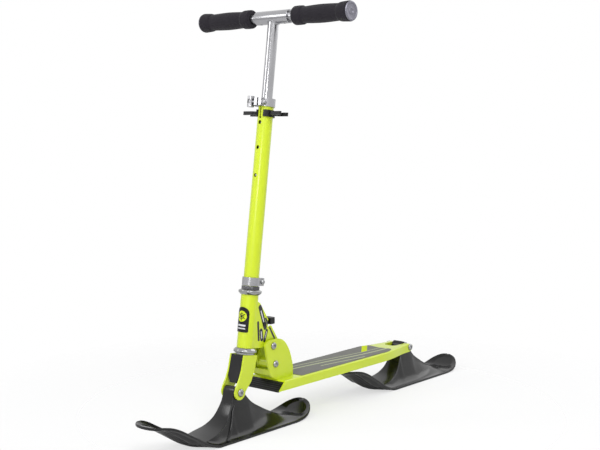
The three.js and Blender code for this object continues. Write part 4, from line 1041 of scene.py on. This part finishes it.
class CarriedOver:
    """CAD nodes whose shape is right, copied with their edges rounded and their curves smooth."""

    NODES: dict[str, Soft] = {
        "fold_bracket": Soft("lime", Slot.LIME, Body.FRAME, 0.55),
        "deck": Soft("lime", Slot.LIME, Body.FRAME, 0.5),
        "neck": Soft("neck", Slot.LIME, Body.NECK, 0.5),
        "fork": Soft("lime", Slot.LIME, Body.STEERING, 0.7),
        "fork_infill": Soft("plastic", Slot.PLASTIC, Body.STEERING, 0.6),
        "front_cap": Soft("plastic", Slot.PLASTIC, Body.FRAME, 0.5),
        "badge": Soft("badge", Slot.PLASTIC, Body.NECK, 0.2),
        "latch_lever": Soft("plastic", Slot.PLASTIC, Body.LATCH, 0.6),
        "latch_knob": Soft("plastic", Slot.PLASTIC, Body.LATCH, 2.6),
        "handle_clip": Soft("plastic", Slot.PLASTIC, Body.STEERING, 0.7),
        "lower_collar": Soft("cast", Slot.ALUMINIUM, Body.STEERING, 0.5),
        "top_collar": Soft("cast", Slot.ALUMINIUM, Body.STEERING, 0.5),
        "cam_lever": Soft("cast", Slot.ALUMINIUM, Body.CAM, 0.8),
        "headset_locknut": Soft("nut", Slot.ALUMINIUM, Body.STEERING, 0.5),
        "skewer_nut": Soft("cast", Slot.ALUMINIUM, Body.STEERING, 0.4),
    }

    def soften(self, node: str, how: Soft, finishes: Finishes) -> None:
        """Copies one node with rounded edges.

        Args:
            node: The CAD node's name.
            how: How it is finished.
            finishes: The materials.
        """
        made = bmesh.new()
        made.from_mesh(bpy.data.objects[node].data)
        bmesh.ops.remove_doubles(made, verts=made.verts, dist=2e-6)
        bmesh.ops.dissolve_limit(made, angle_limit=radians(0.6), verts=made.verts, edges=made.edges)
        sharp = [edge for edge in made.edges if edge.is_manifold and edge.calc_face_angle() > radians(34)]
        bmesh.ops.bevel(made, geom=sharp, offset=how.edge * MM, offset_type="OFFSET", segments=2, profile=0.5,
                        affect="EDGES", clamp_overlap=True, material=-1)
        bmesh.ops.recalc_face_normals(made, faces=made.faces)
        material = getattr(finishes, how.finish)
        piece = Maker.finish(f"{node}_dressed", made, material, how.body, how.slot, (node,))
        weights = piece.modifiers.new("flat faces", "WEIGHTED_NORMAL")
        weights.keep_sharp = True

    def build(self, finishes: Finishes) -> None:
        """Carries every listed node over."""
        for node, how in self.NODES.items():
            self.soften(node, how, finishes)


class Kept:
    """CAD nodes that stay as they are and get a finish of their own."""

    FINISHES: dict[str, tuple[str, ...]] = {
        "sheet": ("deck_grip",),
        "cast": ("left_handle", "right_handle", "skewer", "cam_pin"),
        "dark": ("latch_pin",),
        "steel": ("lower_collar_bolt", "lower_collar_nut", "latch_spring", "upper_bearing", "lower_bearing", "crown_race", "height_button",
                  "left_snap_button", "right_snap_button"),
        "plastic": ("column_bush", "stem_plug"),
    }

    def build(self, finishes: Finishes) -> None:
        """Gives each node its finish; spacers and washers are plated steel."""
        named = {node: finish for finish, nodes in self.FINISHES.items() for node in nodes}
        for item in bpy.data.objects:
            if item.type != "MESH" or item.name not in named and item.name not in frame["nodes"]:
                continue
            if not item.hide_render:
                finish = getattr(finishes, named.get(item.name, "steel"))
                item.data.materials.clear()
                item.data.materials.append(finish)
                LOG.info("kept %s", item.name)


class Studio:
    """Plain white ground, soft lamps and the photograph's camera."""

    PLACE = Vector((1.3865, -1.7254, 0.5911))
    AHEAD = Vector((-0.6391, 0.7635, -0.0925))

    def floor(self) -> None:
        """Makes the pale floor."""
        made = bmesh.new()
        bmesh.ops.create_grid(made, x_segments=1, y_segments=1, size=6.0)
        mesh = bpy.data.meshes.new("floor")
        made.to_mesh(mesh)
        made.free()
        ground = Graph("floor white")
        ground.set(Base_Color=(0.95, 0.95, 0.95, 1.0), Roughness=0.9, Specular_IOR_Level=0.1)
        across_, along, _ = ground.axes()
        reach = (across_ * across_ + along * along) * 0.55
        glow = ground.node("ShaderNodeBsdfTransparent", {}, {"Color": (1.0, 1.0, 1.0, 1.0)})
        fade = ground.node("ShaderNodeMath", {"operation": "MINIMUM"}, {0: reach + 0.6, 1: 1.0})
        fade = fade * ground.node("ShaderNodeLightPath", {}, {}, "Is Camera Ray")
        lit = Socket(ground, ground.shader.outputs[0])
        mixed = ground.node("ShaderNodeMixShader", {}, {0: fade, 1: lit, 2: glow})
        ground.tree.links.new(mixed.link, ground.tree.nodes["Material Output"].inputs["Surface"])
        mesh.materials.append(ground.material)
        item = bpy.data.objects.new("floor", mesh)
        bpy.context.scene.collection.objects.link(item)

    def lamp(self, name: str, place: Sequence[float], power: float, size: float) -> None:
        """Hangs one soft lamp that faces the scooter."""
        data = bpy.data.lights.new(name, "AREA")
        data.energy = power
        data.size = size
        item = bpy.data.objects.new(name, data)
        item.location = place
        aim = Vector((0, 0, 0.35)) - Vector(place)
        item.rotation_euler = aim.to_track_quat("-Z", "Y").to_euler()
        bpy.context.scene.collection.objects.link(item)

    def sky(self) -> None:
        """Makes the world white to the camera and soft for lighting."""
        world = bpy.data.worlds.new("white")
        bpy.context.scene.world = world
        world.use_nodes = True
        tree = world.node_tree
        light = tree.nodes["Background"]
        self._shade(tree, light)
        seen = tree.nodes.new("ShaderNodeBackground")
        seen.inputs["Color"].default_value = (1, 1, 1, 1)
        path = tree.nodes.new("ShaderNodeLightPath")
        mix = tree.nodes.new("ShaderNodeMixShader")
        white = path.outputs["Is Camera Ray"]
        for kind in ("Is Glossy Ray", "Is Transmission Ray"):
            either = tree.nodes.new("ShaderNodeMath")
            either.operation = "MAXIMUM"
            tree.links.new(white, either.inputs[0])
            tree.links.new(path.outputs[kind], either.inputs[1])
            white = either.outputs[0]
        tree.links.new(white, mix.inputs[0])
        tree.links.new(light.outputs[0], mix.inputs[1])
        tree.links.new(seen.outputs[0], mix.inputs[2])
        tree.links.new(mix.outputs[0], tree.nodes["World Output"].inputs["Surface"])

    @staticmethod
    def _shade(tree: bpy.types.NodeTree, light: bpy.types.Node) -> None:
        """Gives the world a bright side, a dark side and a soft top, which light the scooter; camera, glossy and
        transmission rays see white instead.
        """
        place = tree.nodes.new("ShaderNodeTexCoord")
        split = tree.nodes.new("ShaderNodeSeparateXYZ")
        tree.links.new(place.outputs["Generated"], split.inputs[0])
        turn = tree.nodes.new("ShaderNodeMath")
        turn.operation = "ARCTAN2"
        tree.links.new(split.outputs[1], turn.inputs[0])
        tree.links.new(split.outputs[0], turn.inputs[1])
        share = tree.nodes.new("ShaderNodeMapRange")
        tree.links.new(turn.outputs[0], share.inputs["Value"])
        share.inputs["From Min"].default_value = -pi
        share.inputs["From Max"].default_value = pi
        ramp = tree.nodes.new("ShaderNodeValToRGB")
        stops = ((0.0, 0.1), (0.04, 0.14), (0.1, 0.62), (0.21, 0.72), (0.28, 0.95), (0.36, 0.95), (0.42, 0.16),
                 (0.5, 0.1), (0.6, 0.2), (0.7, 0.38), (0.78, 0.85), (0.86, 0.35), (0.93, 0.08), (1.0, 0.1))
        while len(ramp.color_ramp.elements) < len(stops):
            ramp.color_ramp.elements.new(0.5)
        for element, (position, value) in zip(ramp.color_ramp.elements, stops):
            element.position = position
            element.color = (value, value, value * 1.01, 1.0)
        tree.links.new(share.outputs[0], ramp.inputs[0])
        above = tree.nodes.new("ShaderNodeMapRange")
        above.inputs["From Min"].default_value = 0.5
        above.inputs["From Max"].default_value = 0.85
        tree.links.new(split.outputs[2], above.inputs["Value"])
        lid = tree.nodes.new("ShaderNodeMix")
        lid.data_type = "RGBA"
        tree.links.new(above.outputs[0], lid.inputs[0])
        tree.links.new(ramp.outputs[0], lid.inputs[6])
        lid.inputs[7].default_value = (0.72, 0.72, 0.73, 1.0)
        tree.links.new(lid.outputs[2], light.inputs["Color"])
        light.inputs["Strength"].default_value = 1.0

    def camera(self) -> None:
        """Sets up the photograph's camera."""
        data = bpy.data.cameras.new("camera")
        data.lens = 64.0
        data.sensor_width = 36.0
        item = bpy.data.objects.new("camera", data)
        item.location = self.PLACE
        item.rotation_euler = self.AHEAD.to_track_quat("-Z", "Y").to_euler()
        bpy.context.scene.collection.objects.link(item)
        bpy.context.scene.camera = item

    def build(self) -> None:
        """Sets the stage."""
        bpy.context.scene.view_settings.view_transform = "Standard"
        self.floor()
        self.sky()
        self.lamp("key", (1.7, -1.3, 2.3), 36, 1.4)
        self.lamp("fill", (0.95, -2.6, 1.0), 12, 0.45)
        self.lamp("back", (0.6, 2.4, 1.8), 16, 2.0)
        self.lamp("side", (-1.4, -1.9, 1.4), 6, 0.6)
        self.camera()


def main() -> None:
    """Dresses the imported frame."""
    logging.basicConfig(level=logging.INFO, format="%(message)s")
    finishes = Finishes()
    Ski("front_ski_dressed", 268.5, Body.FRONT_RUNNER, "front_ski").build(finishes)
    Ski("rear_ski_dressed", -291.5, Body.REAR_RUNNER, "rear_ski").build(finishes)
    Column().build(finishes)
    Cup("upper_cup", 268.7, 277.7).build(finishes)
    Cup("lower_cup", 165.3, 156.5).build(finishes)
    TBar().build(finishes)
    for side in (1, -1):
        Hand(side).build(finishes)
    CrossBolt("pivot_bolt", Body.FRAME, 171.98, 124.4, 23.0).build(finishes)
    CrossBolt("lock_bolt", Body.FRAME, 177.98, 161.4, 23.0).build(finishes)
    CrossBolt("rear_axle_bolt", Body.FRAME, -291.5, 84.5, 28.0, 7.4).build(finishes)
    CrossBolt("front_axle_bolt", Body.STEERING, 268.5, 84.5, 18.8, 7.4).build(finishes)
    CarriedOver().build(finishes)
    Kept().build(finishes)
    Studio().build()


if __name__ == "__main__":
    main()
